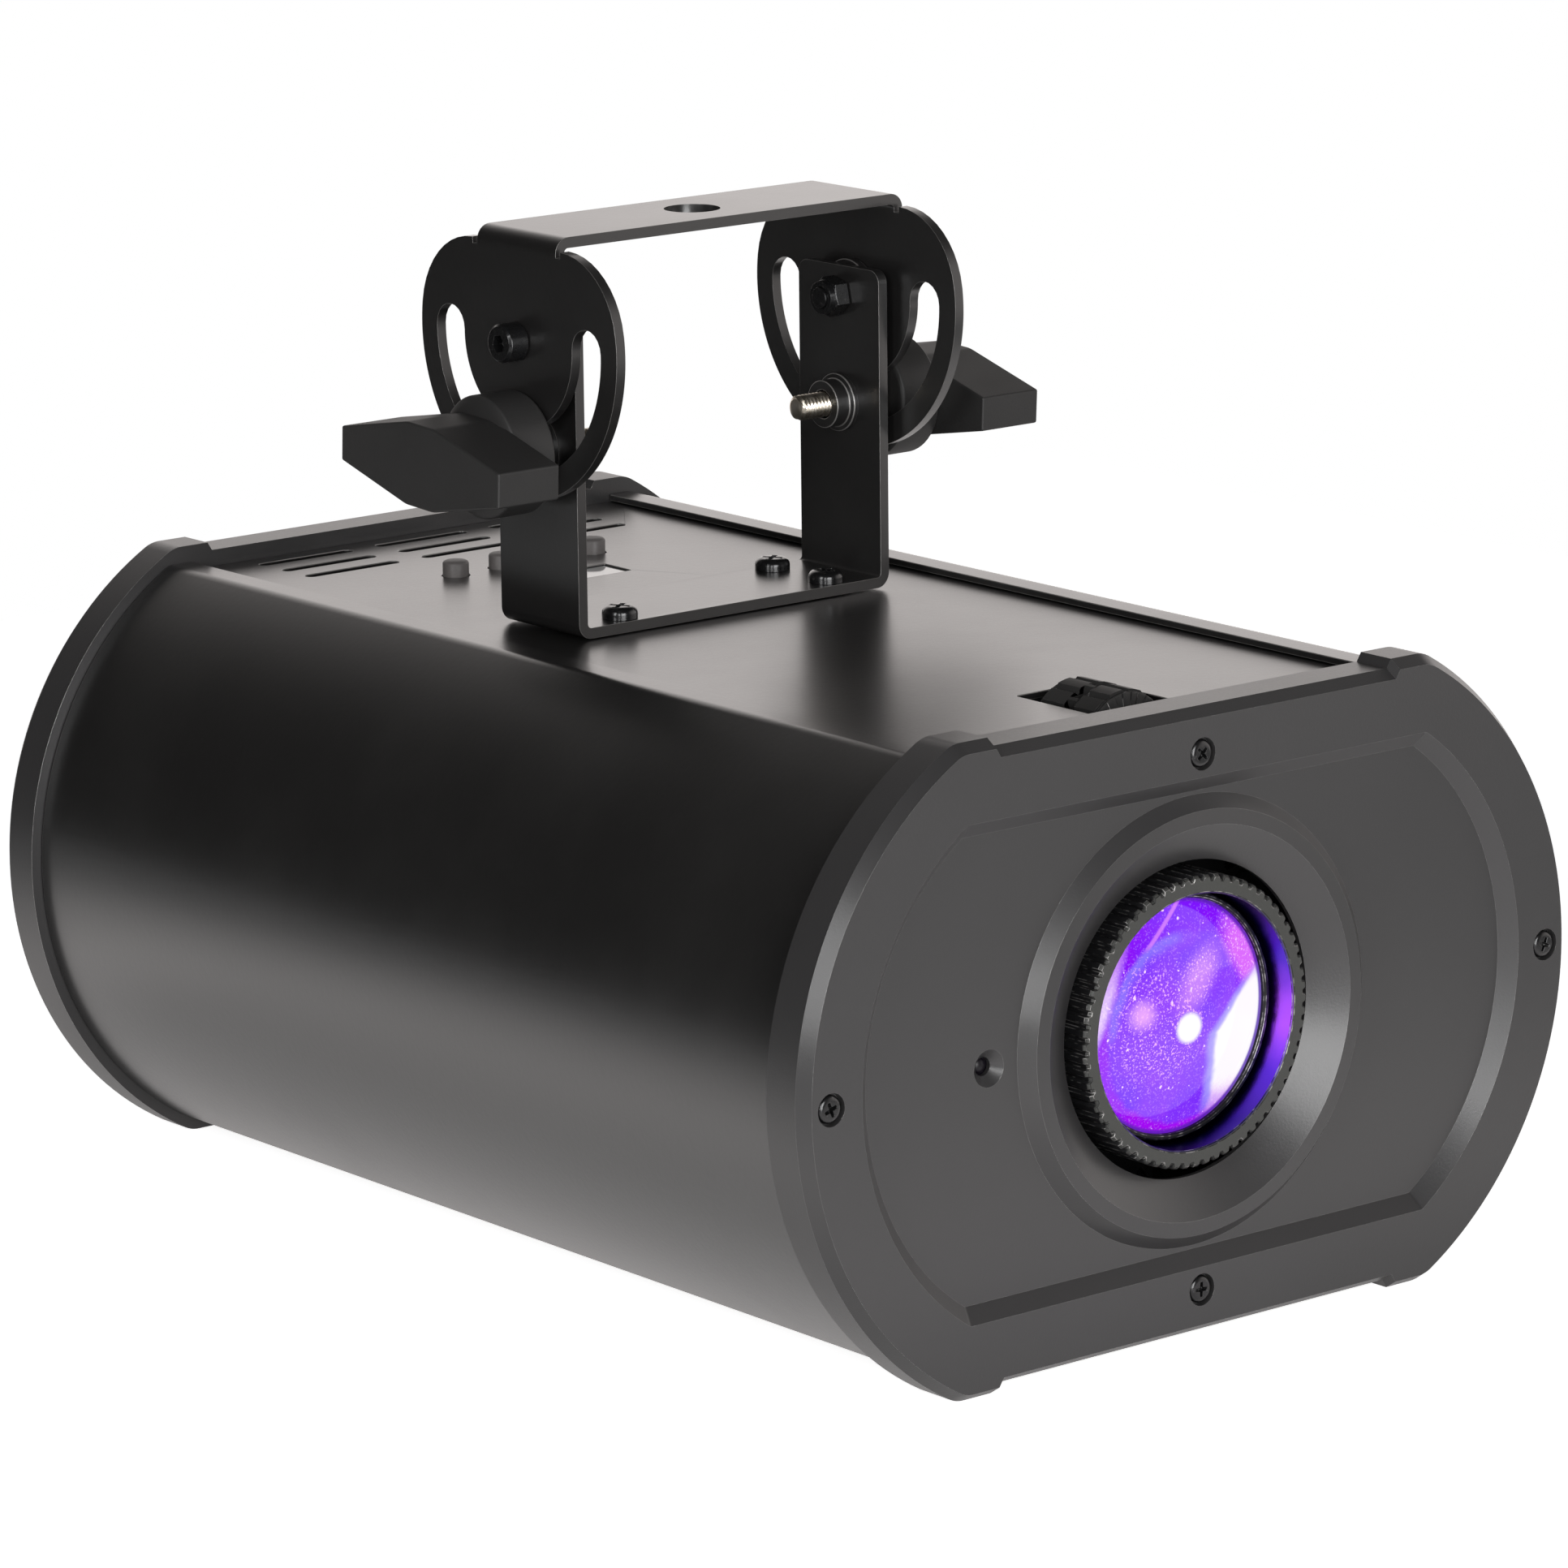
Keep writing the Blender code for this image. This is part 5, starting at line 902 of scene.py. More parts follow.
def ring_moulding(place):
    """Satin grey-black face. The knurl and all more than 2 mm behind the front face are painted near black as
    shade in the gap inside the funnel, and the bore is made metallic and painted violet as glow from the lens
    beside it.
    """
    grain = place.noise(2300, 3.0, 0.6)
    blotch = place.noise(120, 2.0)
    u = place.axis(0)
    v = place.axis(2) - axis_height
    bore = 1 - (u * u + v * v).math("SQRT").rise(ring_bore + 0.00005, ring_bore + 0.00025)
    face = grain.between((0.045, 0.046, 0.043), (0.068, 0.069, 0.064))
    # Painted shade: near black from about 2 mm behind the front face.
    knurl = (place.axis(1) + body_length / 2).rise(0.0018, 0.0024).between(face, (0.008, 0.008, 0.009))
    # Painted glow from the lens on the bore: bright violet at its sides a little below the axis, darkening to
    # deep blue at top and bottom.
    height = (v + 0.003 + 0.006 * (blotch - 0.5)).math("ABSOLUTE")
    painted_lens_glow = height.rise(0.001, 0.012).between((0.42, 0.085, 1.0), (0.10, 0.025, 0.62))
    painted_lens_glow = height.rise(0.010, 0.027).between(painted_lens_glow, (0.012, 0.005, 0.14))
    return {
        "Base Color": bore.between(knurl, painted_lens_glow),
        "Metallic": bore,
        "Roughness": (0.42 + 0.10 * grain) * (1 - bore * 0.5),
        "Normal": grain.bumped(0.00004, 0.5),
    }


def wear_and_painted_highlight_crest(place):
    """The crests of the knurl and the rims of the wheel are rubbed a little shinier by fingers, and their
    pale patches are also a painted highlight.
    """
    rub = place.noise(420, 3.0, 0.6)
    return {
        "Base Color": rub.rise(0.44, 0.68).between((0.03, 0.03, 0.03), (0.42, 0.41, 0.40)),
        "Roughness": 0.24 + 0.16 * rub,
    }


ring_plastic = finished("focus_ring_moulding", ring_moulding, IOR=1.5)
# The crest finish's pale patches are a painted highlight on the rounded edges of the ring, the wheel and the
# lens retainer.
crest = finished("wear_and_painted_highlight_crest", wear_and_painted_highlight_crest, Metallic=0.7)

nose = []
for ridge in range(knurl_count):
    middle = 2 * pi * ridge / knurl_count
    ridge_path = ((knurl_crest, -0.22), (knurl_crest, 0.22), (knurl_groove, 0.36), (knurl_groove, 0.64))
    for reach, share in ridge_path:
        angle = middle + share * 2 * pi / knurl_count
        nose.append((reach * cos(angle), reach * sin(angle)))
lip = [(u * lip_share, v * lip_share) for u, v in nose]
gear = gear_outline(ring_teeth, mesh_angle, 3)
bore = circle(ring_bore, 144)
mouth = circle(ring_bore + ring_edge, 144)
sleeve = circle(ring_tail, 144)
steps = [(bore, ring_rear), (bore, ring_front + ring_edge), (mouth, ring_front), (lip, ring_front)]
steps += [(nose, ring_front + lip_depth), (nose, gear_front), (gear, gear_front), (gear, gear_rear)]
steps += [(sleeve, gear_rear), (sleeve, ring_rear)]
bm = bmesh.new()
hoop(bm, facing_front(), steps)
# The ring's rounded edges take the crest finish, a painted highlight.
skin = {"body": "focus_ring", "slot": "black_plastic", "edge_finish": crest}
piece("toothed_focus_ring", bm, ring_plastic, **skin, stands_for=["focus_ring"], edge=0.0001, turn=35)

# Lens cell and its retaining ring: turned aluminium, anodised satin black, with fine marks left by the tool.
# The cell slides inside the focus ring on three cam pins and holds the front lens.
lens_radius = 0.0257
lens_vertex = 0.0051
lens_bulge = 0.0046
lens_curve = (lens_radius**2 + lens_bulge**2) / (2 * lens_bulge)
lens_seat = 0.0100
lens_ledge = 0.0133
lens_pocket = 0.0259
cell_head = 0.0267
cell_head_rear = 0.0203
cell_tail = 0.0242
cell_bore = 0.0222
cell_rear = 0.0435
cam_pin_depth = 0.036
cam_pin = [(0.0015, 0.0232), (0.0015, 0.0279), (0.0011, 0.0283)]
retainer_inner = 0.0251
retainer_outer = 0.0264
retainer_length = 0.0012
retainer_edge = 0.0004
retainer_chamfer = 0.0003
retainer_gap = 0.0003


def anodised(place):
    """Tool marks run round the lens axis, in the slightly grey black of anodising."""
    sockets = {"Vector": place, "Scale": 900.0, "Distortion": 0.4}
    mark = place.node("TexWave", {"bands_direction": "Y"}, sockets)
    patch = place.noise(240, 3.0, 0.6)
    return {
        "Base Color": (0.5 * mark + 0.5 * patch).between((0.012, 0.012, 0.014), (0.024, 0.024, 0.027)),
        "Roughness": 0.30 + 0.10 * patch + 0.05 * (place.axis(1) * 9000).math("SINE"),
        "Normal": mark.bumped(0.00003, 0.35),
    }


black_anodised = finished("black_anodised", anodised, Metallic=0.6)

profile = [(cell_head, lens_seat), (cell_head, cell_head_rear), (cell_tail, cell_head_rear)]
profile += [(cell_tail, cell_rear), (cell_bore, cell_rear), (cell_bore, lens_ledge)]
profile += [(lens_pocket, lens_ledge), (lens_pocket, lens_seat)]
bm = bmesh.new()
hoop(bm, facing_front(), rounds(profile, 96))
for number in range(3):
    angle = pi / 2 + 2 * pi * number / 3
    outward = Vector((cos(angle), 0, sin(angle)))
    across = Vector((-sin(angle), 0, cos(angle)))
    hub = (0, cam_pin_depth - body_length / 2, axis_height)
    solid(bm, placed(hub, across, (0, 1, 0), outward), rounds(cam_pin, 24))
piece("sliding_lens_cell", bm, black_anodised, "lens_group", "black_anodised", ["lens_cell"], edge=0.0001)


def glass_depth(reach):
    """How deep the lens's round face lies at this distance from its axis."""
    return lens_vertex + lens_curve - sqrt(lens_curve**2 - reach**2)


rear = glass_depth(retainer_inner) - retainer_gap
front = rear - retainer_length
profile = [(retainer_inner, rear), (retainer_inner, front + retainer_edge)]
profile += [(retainer_inner + retainer_edge, front), (retainer_outer - retainer_chamfer, front)]
profile += [(retainer_outer, front + retainer_chamfer), (retainer_outer, lens_seat)]
profile.append((lens_radius + retainer_gap, lens_seat))
bm = bmesh.new()
hoop(bm, facing_front(), rounds(profile, 96))
# The retainer's rounded edges take the crest finish, a painted highlight.
skin = {"body": "lens_group", "slot": "black_anodised", "edge_finish": crest}
piece("turned_lens_retainer", bm, black_anodised, **skin, stands_for=["lens_retainer"], edge=0.00012)

# Front lens: a plano-convex glass, with the lamp's violet beam painted into it as the glass's own glow.
# A painted white hot spot, white crescent and fine pink sparkle from the ripple wheels lie over deep violet,
# which darkens at the rim.
lens_edge = 0.003


def lit_glass(place):
    """u and v run across the lens from its axis, and 1 is its rim."""
    u = place.axis(0) / lens_radius
    v = (place.axis(2) - axis_height) / lens_radius
    flow = place.noise(95, 3.0, 0.6) - 0.5
    fine = place.noise(2100, 2.0, 0.6)

    def away(center_u, center_v, reach_u, reach_v, lean=0.0):
        """Distance from a leaning ellipse's centre, 1 on its edge."""
        across = (cos(lean) * (u - center_u) + sin(lean) * (v - center_v)) / reach_u
        along = (cos(lean) * (v - center_v) - sin(lean) * (u - center_u)) / reach_v
        return (across * across + along * along).math("SQRT")

    def patch(ragged, full, gone, *ellipse):
        """1 up to full from an ellipse's centre and 0 from gone, with a ragged edge between them."""
        return 1 - (away(*ellipse) + ragged * flow).rise(full, gone)

    inner = away(0.05, -0.10, 1.0, 1.0) + 0.10 * flow
    tint = (0.5 + 2.0 * flow).between((0.16, 0.020, 0.98), (0.29, 0.040, 0.95))
    deep = (0.5 - 0.6 * v + 1.5 * flow).between((0.20, 0.002, 0.96), (0.36, 0.0, 0.88))
    color = inner.rise(0.77, 0.83).between(tint, deep)
    rim_light = inner.rise(0.66, 0.78) * (1 - inner.rise(0.79, 0.85)) * (v - u + flow).rise(0.55, 0.95)
    color = (0.6 * rim_light).between(color, (0.26, 0.26, 1.0))
    haze = patch(0.8, 0.35, 1.25, -0.28, -0.02, 0.50, 0.56, 0.5)
    color = (0.12 * haze).between(color, (0.62, 0.16, 1.0))
    glow = patch(0.7, 0.2, 1.3, 0.16, 0.30, 0.34, 0.17, 0.75)
    color = (0.55 * glow).between(color, (0.85, 0.38, 1.0))
    pink = patch(0.6, 0.1, 1.1, -0.43, 0.10, 0.17, 0.16)
    color = (0.75 * pink).between(color, (0.98, 0.48, 1.0))
    upper = patch(0.9, 0.45, 1.2, 0.74, 0.42, 0.20, 0.42, 0.55)
    color = (0.75 * upper).between(color, (0.88, 0.20, 1.0))
    sparkle = (0.20 + haze + glow + 1.2 * upper).math("MINIMUM", 0.95)
    color = (fine.rise(0.53, 0.68) * sparkle).between(color, (0.98, 0.50, 1.0))
    stars = place.noise(950, 0.0).rise(0.79, 0.83)
    color = stars.between(color, (1.0, 0.70, 1.0))
    side = 0.4 * v - u + 0.06 * flow
    limb = side.rise(0.76, 0.86)
    pale = (1 - (v - 0.05).math("ABSOLUTE").rise(0.1, 0.6)).between((0.62, 0.26, 0.92), (0.98, 0.80, 1.0))
    color = (limb * (0.75 + 0.5 * (fine - 0.5))).between(color, pale)
    chord = (0.765 * v - 0.644 * u - 0.6934).math("ABSOLUTE")
    line = (1 - chord.rise(0.008, 0.026)) * v.rise(0.58, 0.66)
    color = (0.65 * line).between(color, (0.80, 0.26, 0.95))
    edge = u - 0.33 - 1.2 * (v + 0.18).math("MAXIMUM", 0.0) + 0.16 * flow
    below = (v + 0.15 * flow).rise(-0.98, -0.62)
    above = 1 - (v + 0.3 * flow).rise(0.10, 0.30)
    color = (0.8 * edge.rise(-0.11, 0.0) * below * above).between(color, (0.45, 0.42, 1.0))
    crescent = edge.rise(-0.01, 0.07) * below * above
    low_end = 1 - (v + 0.2 * flow + 0.15 * fine).rise(-0.80, -0.50)
    color = crescent.between(color, low_end.between((1.0, 0.97, 1.0), (0.92, 0.45, 0.95)))
    color = (1 - away(0.04, -0.08, 0.14, 0.13).rise(0.75, 1.15)).between(color, (1.0, 0.97, 1.0))
    rim = (u * u + v * v).math("SQRT").rise(0.93, 0.965)
    return {
        "Emission Color": (0.9 * rim).between(color, (0.10, 0.01, 0.45)),
        "Roughness": 0.05 + 0.06 * fine,
    }


lens_glass = finished(
    "lit_front_lens",
    lit_glass,
    Base_Color=(0.01, 0.004, 0.03, 1),
    Emission_Strength=1.0,
    Coat_Weight=0.2,
    Coat_Roughness=0.04,
)

profile = [(reach, glass_depth(reach)) for reach in [lens_radius * step / 24 for step in range(1, 25)]]
profile.append((lens_radius, lens_seat + lens_edge))
bm = bmesh.new()
solid(bm, facing_front(), rounds(profile, 96))
piece("front_lens_glass", bm, lens_glass, "lens_group", "coated_glass", ["front_lens"])

# Thumb wheel: broad round flutes for the thumb with a plain rim at both ends, moulded in one with the gear
# that drives the ring. It runs on a steel axle in a folded bracket, both kept from the CAD model.
wheel_front = 0.0252
wheel_length = 0.0182
wheel_rim = 0.0009
drive_from = 0.0073
drive_to = 0.0103
flute_radius = 0.0119
flute_groove = 0.0011
groove_half_turn = 0.085
rim_radius = 0.0114
rim_round = 0.0003
rim_slim = 0.0005
wheel_bore = 0.0018

gap_at = mesh_angle + pi
drive = gear_outline(wheel_teeth, gap_at + pi / wheel_teeth, 4)
flutes = []
for step in range(wheel_teeth * 16):
    turn = step / (wheel_teeth * 16)
    from_groove = (turn * wheel_teeth + 0.5) % 1 - 0.5
    dip = max(0.0, 1 - (from_groove / (groove_half_turn * 2)) ** 2) ** 1.5
    radius = flute_radius - flute_groove * dip
    angle = 2 * pi * turn + gap_at
    flutes.append((radius * cos(angle), radius * sin(angle)))
bore = circle(wheel_bore, 32)
rim = circle(rim_radius, 112)
slim_rim = circle(rim_radius - rim_slim, 112)
steps = [(bore, 0), (slim_rim, 0), (rim, rim_round), (rim, wheel_rim), (flutes, wheel_rim)]
steps += [(flutes, drive_from), (drive, drive_from), (drive, drive_to), (flutes, drive_to)]
steps += [(flutes, wheel_length - wheel_rim), (rim, wheel_length - wheel_rim)]
steps += [(rim, wheel_length - rim_round), (slim_rim, wheel_length), (bore, wheel_length)]
bm = bmesh.new()
hoop(bm, facing_front(wheel_front, wheel_x, wheel_z), steps)
# The wheel's rounded edges take the crest finish, a painted highlight.
skin = {"body": "focus_wheel", "slot": "black_plastic", "edge_finish": crest}
piece("fluted_thumb_wheel", bm, black_plastic, **skin, stands_for=["focus_wheel"], edge=0.00018, turn=35)


def spangled_zinc(place):
    """Hot-dip zinc: large flat crystals, each with its own grey, and a dull skin."""
    cell = place.node("TexVoronoi", {}, {"Vector": place, "Scale": 160.0}, 1)
    tint = cell.axis(0)
    fine = place.noise(900, 3.0, 0.6)
    return {
        "Base Color": (0.7 * tint + 0.3 * fine).between((0.46, 0.48, 0.50), (0.66, 0.67, 0.68)),
        "Roughness": 0.34 + 0.14 * tint + 0.06 * fine,
        "Normal": fine.bumped(0.00002, 0.3),
    }


galvanised = finished("galvanised_sheet", spangled_zinc, Metallic=1.0)


def dress(material, *nodes):
    """Gives CAD nodes whose shape is right their finished material."""
    for name in nodes:
        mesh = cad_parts[name].data
        mesh.materials.clear()
        mesh.materials.append(material)


dress(zinc_steel, "focus_axle", "ripple_motor_left", "ripple_motor_right", "color_motor")
dress(galvanised, "wheel_bracket", "front_bulkhead", "effect_plate", "lamp_bracket")
dress(black_anodised, "guide_tube", "condenser_holder", "color_wheel")

# Infrared sensor: a smoked dome on a square body, pressed up to its hole in the front bezel.
sensor_back = 0.0063
sensor_side = 0.008
sensor_length = 0.003
dome_radius = 0.0017
dome_rise = 0.001

# Polished, dark violet-black, with faint flow lines.
flow_lines = mottled(300, (0.004, 0.003, 0.005), (0.009, 0.007, 0.011), 0.30, 0.10, (), 2.0, 0.5)
smoked = finished("smoked_plastic", flow_lines, IOR=1.4)

square = rectangle(sensor_side, sensor_side, radius=0.0006)
turns = (0, 0.3, 0.6, 0.9, 1.2, 1.45)
dome = [(dome_radius * cos(turn), sensor_back - dome_rise * sin(turn)) for turn in turns]
block = [(square, sensor_back + sensor_length), (square, sensor_back)]
bm = bmesh.new()
solid(bm, facing_front(0, sensor_x), block + rounds(dome, 32))
piece("infrared_dome", bm, smoked, "housing", "smoked_window", ["infrared_sensor"], edge=0.00008, turn=40)

# Optics behind the lens, all kept from the CAD model: two rippled glass wheels, the color wheel's filters,
# the condenser and the lamp on its board, with the extruded heat sink behind it.
filter_wheel_x = 0.034
filter_colors = [(0.75, 0.03, 0.03), (0.9, 0.35, 0.02), (0.05, 0.5, 0.08)]
filter_colors += [(0.02, 0.35, 0.75), (0.10, 0.05, 0.8), (0.55, 0.04, 0.6)]
emitter_radius = 0.0092


def filter_fields(place):
    """Six fields of filter glass round the wheel's axis."""
    across = place.axis(0) - filter_wheel_x
    rise = place.axis(2) - axis_height
    turn = rise.math("ARCTAN2", across) / (2 * pi) + 0.5
    stops = [(number / 6, color) for number, color in enumerate(filter_colors)]
    field = turn.node("ValToRGB", {"stops": stops, "interpolation": "CONSTANT"}, {0: turn})
    return {"Base Color": field, "Roughness": 0.06 + 0.05 * place.noise(200)}


def lamp_colors(place):
    """A white board with copper pads, and the yellow phosphor of the round emitter in its middle."""
    u = place.axis(0)
    v = place.axis(2) - axis_height
    away = (u * u + v * v).math("SQRT")
    trace = place.noise(260, 0.0).rise(0.57, 0.59)
    board = trace.between((0.72, 0.73, 0.72), (0.62, 0.40, 0.22))
    grain = place.noise(2600, 2.0)
    phosphor = grain.between((0.85, 0.62, 0.05), (0.95, 0.78, 0.12))
    off_emitter = away.rise(emitter_radius - 0.0001, emitter_radius + 0.0001)
    return {"Base Color": off_emitter.between(phosphor, board), "Roughness": 0.35 + 0.2 * grain}


def extruded(place):
    """Die lines run along the fins, and the saw leaves a duller end."""
    drawn_out = place.node("VectorMath", {"operation": "MULTIPLY"}, {0: place, 1: (1.0, 1.0, 0.03)})
    line = drawn_out.noise(2400, 2.0, 0.6)
    cloud = place.noise(40, 2.0)
    return {
        "Base Color": (0.6 * line + 0.4 * cloud).between((0.66, 0.67, 0.68), (0.80, 0.81, 0.82)),
        "Roughness": 0.28 + 0.2 * line,
        "Normal": line.bumped(0.00003, 0.4),
    }


# Pressed glass whose uneven waves bend the light.
waves = mottled(130, (0.72, 0.84, 0.88), (0.86, 0.94, 0.95), 0.05, 0.08, (0.0012, 0.8), 2.0, 0.4)
ripple_glass = finished("rippled_glass", waves, IOR=1.5, Transmission_Weight=0.85)
dress(ripple_glass, "ripple_wheel_left", "ripple_wheel_right", "condenser_lens")
dress(finished("filter_glass", filter_fields, Transmission_Weight=0.6), "color_filters")
dress(finished("lamp_board", lamp_colors), "led_module")
dress(finished("extruded_aluminium", extruded, Metallic=1.0), "heat_sink")

# Rear plate: a coated steel sheet on the bezel's ledge, punched with the fan's grille and the socket holes.
# The fan's frame behind it is kept from the CAD model.
fan_x = 0.046
fan_reach = 0.037
grille_pitch = 0.0105
grille_slot = 0.006
grille_bridge = 0.0025
undivided_half = 0.017
inlet_x = -0.024
inlet_z = 0.020
inlet_hole = (0.0271, 0.0201)
inlet_corner = 0.002
signal_x = -0.062
signal_z = 0.019
signal_hole = 0.0118
plate_gap = 0.0003

holes = []
for number in range(7):
    v = (number - 3) * grille_pitch
    half = sqrt(fan_reach**2 - (abs(v) + grille_slot / 2) ** 2)
    if half > undivided_half:
        reach = half - grille_bridge
        holes += [slot(reach, grille_slot, fan_x + side * (grille_bridge + reach / 2), v) for side in (1, -1)]
    else:
        holes.append(slot(2 * half, grille_slot, fan_x, v))
holes.append(rectangle(*inlet_hole, inlet_x, inlet_z, inlet_corner))
holes += [circle(signal_hole, 48, signal_x, z) for z in (signal_z, -signal_z)]
radius = bezel_radius - plate_rim - plate_gap
outline = barrel(radius, flat_half_height - rim_width - plate_gap, opening_fillet)
bm = bmesh.new()
punched(bm, facing_rear(plate_ledge + plate_gap), sheet, outline, holes)
piece("rear_punched_plate", bm, body="housing", **coated, stands_for=["rear_plate"], edge=0.00022)
dress(black_plastic, "fan_frame")

# Fan rotor: seven twisted blades moulded in one with the round hub, black glass-filled plastic.
rotor_length = 0.0204
rotor_front = 0.0104
hub_radius = 0.016
hub_round = [(0.0035, 0), (0.0012, 0.0003), (0, 0.0016)]
blade_count = 7
blade_root = 0.014
blade_tip = 0.0365
root_pitch = 52
tip_pitch = 32
root_chord = 0.015
tip_chord = 0.021
blade_bow = 0.0012
half_thickness = 0.0007

bm = bmesh.new()
place = facing_rear(rotor_front, fan_x)
hub = [(hub_radius - inward, height) for inward, height in hub_round] + [(hub_radius, rotor_length)]
solid(bm, place, rounds(hub, 64))
for number in range(blade_count):
    angle = 2 * pi * number / blade_count
    rows = []
    for share in [step / 8 for step in range(9)]:
        radius = blade_root + (blade_tip - blade_root) * share
        pitch = radians(root_pitch + (tip_pitch - root_pitch) * share)
        chord = root_chord + (tip_chord - root_chord) * share
        row = []
        for face, step in [(face, step) for face in (1, -1) for step in range(11)]:
            along = face * (step / 10 - 0.5)
            bow = blade_bow * (1 - 4 * along * along) + face * half_thickness * (1.02 - 4 * along * along)
            across = chord * along * cos(pitch) - bow * sin(pitch)
            deep = chord * along * sin(pitch) + bow * cos(pitch)
            u = radius * cos(angle) - across * sin(angle)
            v = radius * sin(angle) + across * cos(angle)
            scale = min(1, radius / sqrt(u * u + v * v))
            row.append(bm.verts.new(place @ Vector((u * scale, v * scale, rotor_length / 2 + deep))))
        rows.append(row)
    for before, after in zip(rows, rows[1:]):
        wall(bm, before, after)
    bm.faces.new(rows[0])
    bm.faces.new(rows[-1])
piece("bladed_rotor", bm, black_plastic, "fan_rotor", "black_plastic", ["fan_rotor"], turn=40)

# Power inlet: the three-pin socket of a detachable mains lead, clipped into the rear plate.
# Glossy black moulding with three flat pins of plated metal.
flange_thickness = 0.002
face = plate_ledge - flange_thickness
pin_chamfer = 0.0008
pin_root = 0.0005
flat_pin = (0.002, 0.004)
flat_pin_places = ((0, 0.002), (-0.007, -0.002), (0.007, -0.002))
cavity_half = 0.012
cavity_top = 0.00705
cavity_rise = 0.00825
cavity_shoulder = 0.0033
cavity_floor = face + 0.016
inlet_back = face + 0.019


def pin(bm, place, path, center, start, end):
    """A contact pin with its end chamfered."""
    here_u, here_v = center
    slim = [(here_u + (u - here_u) * 0.7, here_v + (v - here_v) * 0.7) for u, v in path]
    solid(bm, place, ((path, end), (path, start + pin_chamfer), (slim, start)))


# Polished thermoplastic with fine swirls.
swirls = mottled(500, (0.012, 0.012, 0.013), (0.022, 0.022, 0.023), 0.22, 0.10, bump=(0.00002, 0.3))
glossy_plastic = finished("polished_black_moulding", swirls, Coat_Weight=0.3, Coat_Roughness=0.12)
flange = rectangle(0.0305, 0.0235, radius=0.002)
body = rectangle(0.0265, 0.0195, radius=0.0015)
right_half = [(cavity_half, -cavity_rise), (cavity_half, cavity_shoulder), (cavity_top, cavity_rise)]
cavity = right_half + [(-u, v) for u, v in reversed(right_half)]
bm = bmesh.new()
place = facing_rear(0, inlet_x, inlet_z)
steps = [(cavity, cavity_floor), (cavity, face), (flange, face), (flange, plate_ledge), (body, plate_ledge)]
solid(bm, place, [*steps, (body, inlet_back)])
piece("mains_inlet", bm, glossy_plastic, "housing", "black_plastic", ["power_inlet"], edge=0.0004)
bm = bmesh.new()
for center in flat_pin_places:
    pin(bm, place, rectangle(*flat_pin, *center, 0.0003), center, face + 0.0015, cavity_floor + pin_root)
piece("mains_pins", bm, zinc_steel, "housing", "zinc_steel", edge=0.0001)

# Signal sockets: two round three-pin connectors on square flanges, the upper one the input with male pins
# in a deep shell, the lower one the output with three holes in a flush insert.
flange = rectangle(0.026, 0.031, radius=0.002)
shell_mouth = circle(0.0096, 48)
shell_back = circle(0.0115, 48)
pin_circle = 0.0042
round_pin = 0.0011
pin_hole = 0.0013
pin_places = [(pin_circle * cos(turn), pin_circle * sin(turn)) for turn in (pi, -pi / 2, 0)]
input_floor = face + 0.0125
output_floor = face + 0.0015
hole_floor = face + 0.009
signal_back = face + 0.022
corner_screw = (0.0097, 0.0122)
small_head = {"radius": 0.0022, "rise": 0.0008, "flat": 0.0014, "reach": 0.0012}
small_shank = {"shank": 0.0012, "length": 0.005}

for name, z, floor_at in (("input", signal_z, input_floor), ("output", -signal_z, output_floor)):
    place = facing_rear(0, signal_x, z)
    steps = [(shell_mouth, floor_at), (shell_mouth, face), (flange, face), (flange, plate_ledge)]
    steps += [(shell_back, plate_ledge), (shell_back, signal_back)]
    bm = bmesh.new()
    rings = tube(bm, place, steps)
    bm.faces.new(rings[-1])
    bores = []
    if name == "output":
        for center in pin_places:
            path = circle(pin_hole, 20, *center)
            bore = tube(bm, place, ((path, floor_at), (path, hole_floor)))
            bm.faces.new(bore[-1])
            bores.append(bore[0])
    cap(bm, rings[0], *bores)
    stands_for = [f"signal_{name}"]
    piece(f"signal_{name}_shell", bm, glossy_plastic, "housing", "black_plastic", stands_for, edge=0.0003)
    if name == "input":
        bm = bmesh.new()
        for center in pin_places:
            pin(bm, place, circle(round_pin, 20, *center), center, face + 0.002, floor_at + pin_root)
        piece("signal_pins", bm, zinc_steel, "housing", "zinc_steel", edge=0.0001)
    bm = bmesh.new()
    for side in (-1, 1):
        corner = facing_rear(face, signal_x + side * corner_screw[0], z + side * corner_screw[1])
        outward = corner @ Matrix.Rotation(pi, 4, "X") @ Matrix.Rotation(radians(20 * side), 4, "Z")
        cross_head(bm, outward, **small_head, **small_shank)
    piece(f"signal_{name}_screws", bm, **blackened, edge=0.00008)

# Buttons: four round caps of dull grey-black rubber. Their flanges hold them under the top panel,
# and the stems below the flanges press the switches.
stem_radius = 0.0015
stem_end = -0.0053
flange_radius = 0.0037
flange_from = -0.0028
flange_to = -0.0018
cap_radius = 0.003
cap_crown = [(0.003, 0.0028), (0.0028, 0.0032), (0.0024, 0.0034), (0.0012, 0.0035)]

dull_grain = mottled(1600, (0.115, 0.105, 0.102), (0.165, 0.152, 0.148), 0.38, 0.16, bump=(0.00004, 0.4))
rubber = finished("button_rubber", dull_grain)
profile = [(stem_radius, stem_end), (stem_radius, flange_from), (flange_radius, flange_from)]
profile += [(flange_radius, flange_to), (cap_radius, flange_to), *cap_crown]
for number, x in enumerate(button_places, 1):
    bm = bmesh.new()
    solid(bm, lying(panel_top, x, button_depth), rounds(profile, 40))
    name = f"button_{number}"
    piece(f"press_{name}", bm, rubber, name, "black_plastic", [name], turn=40)

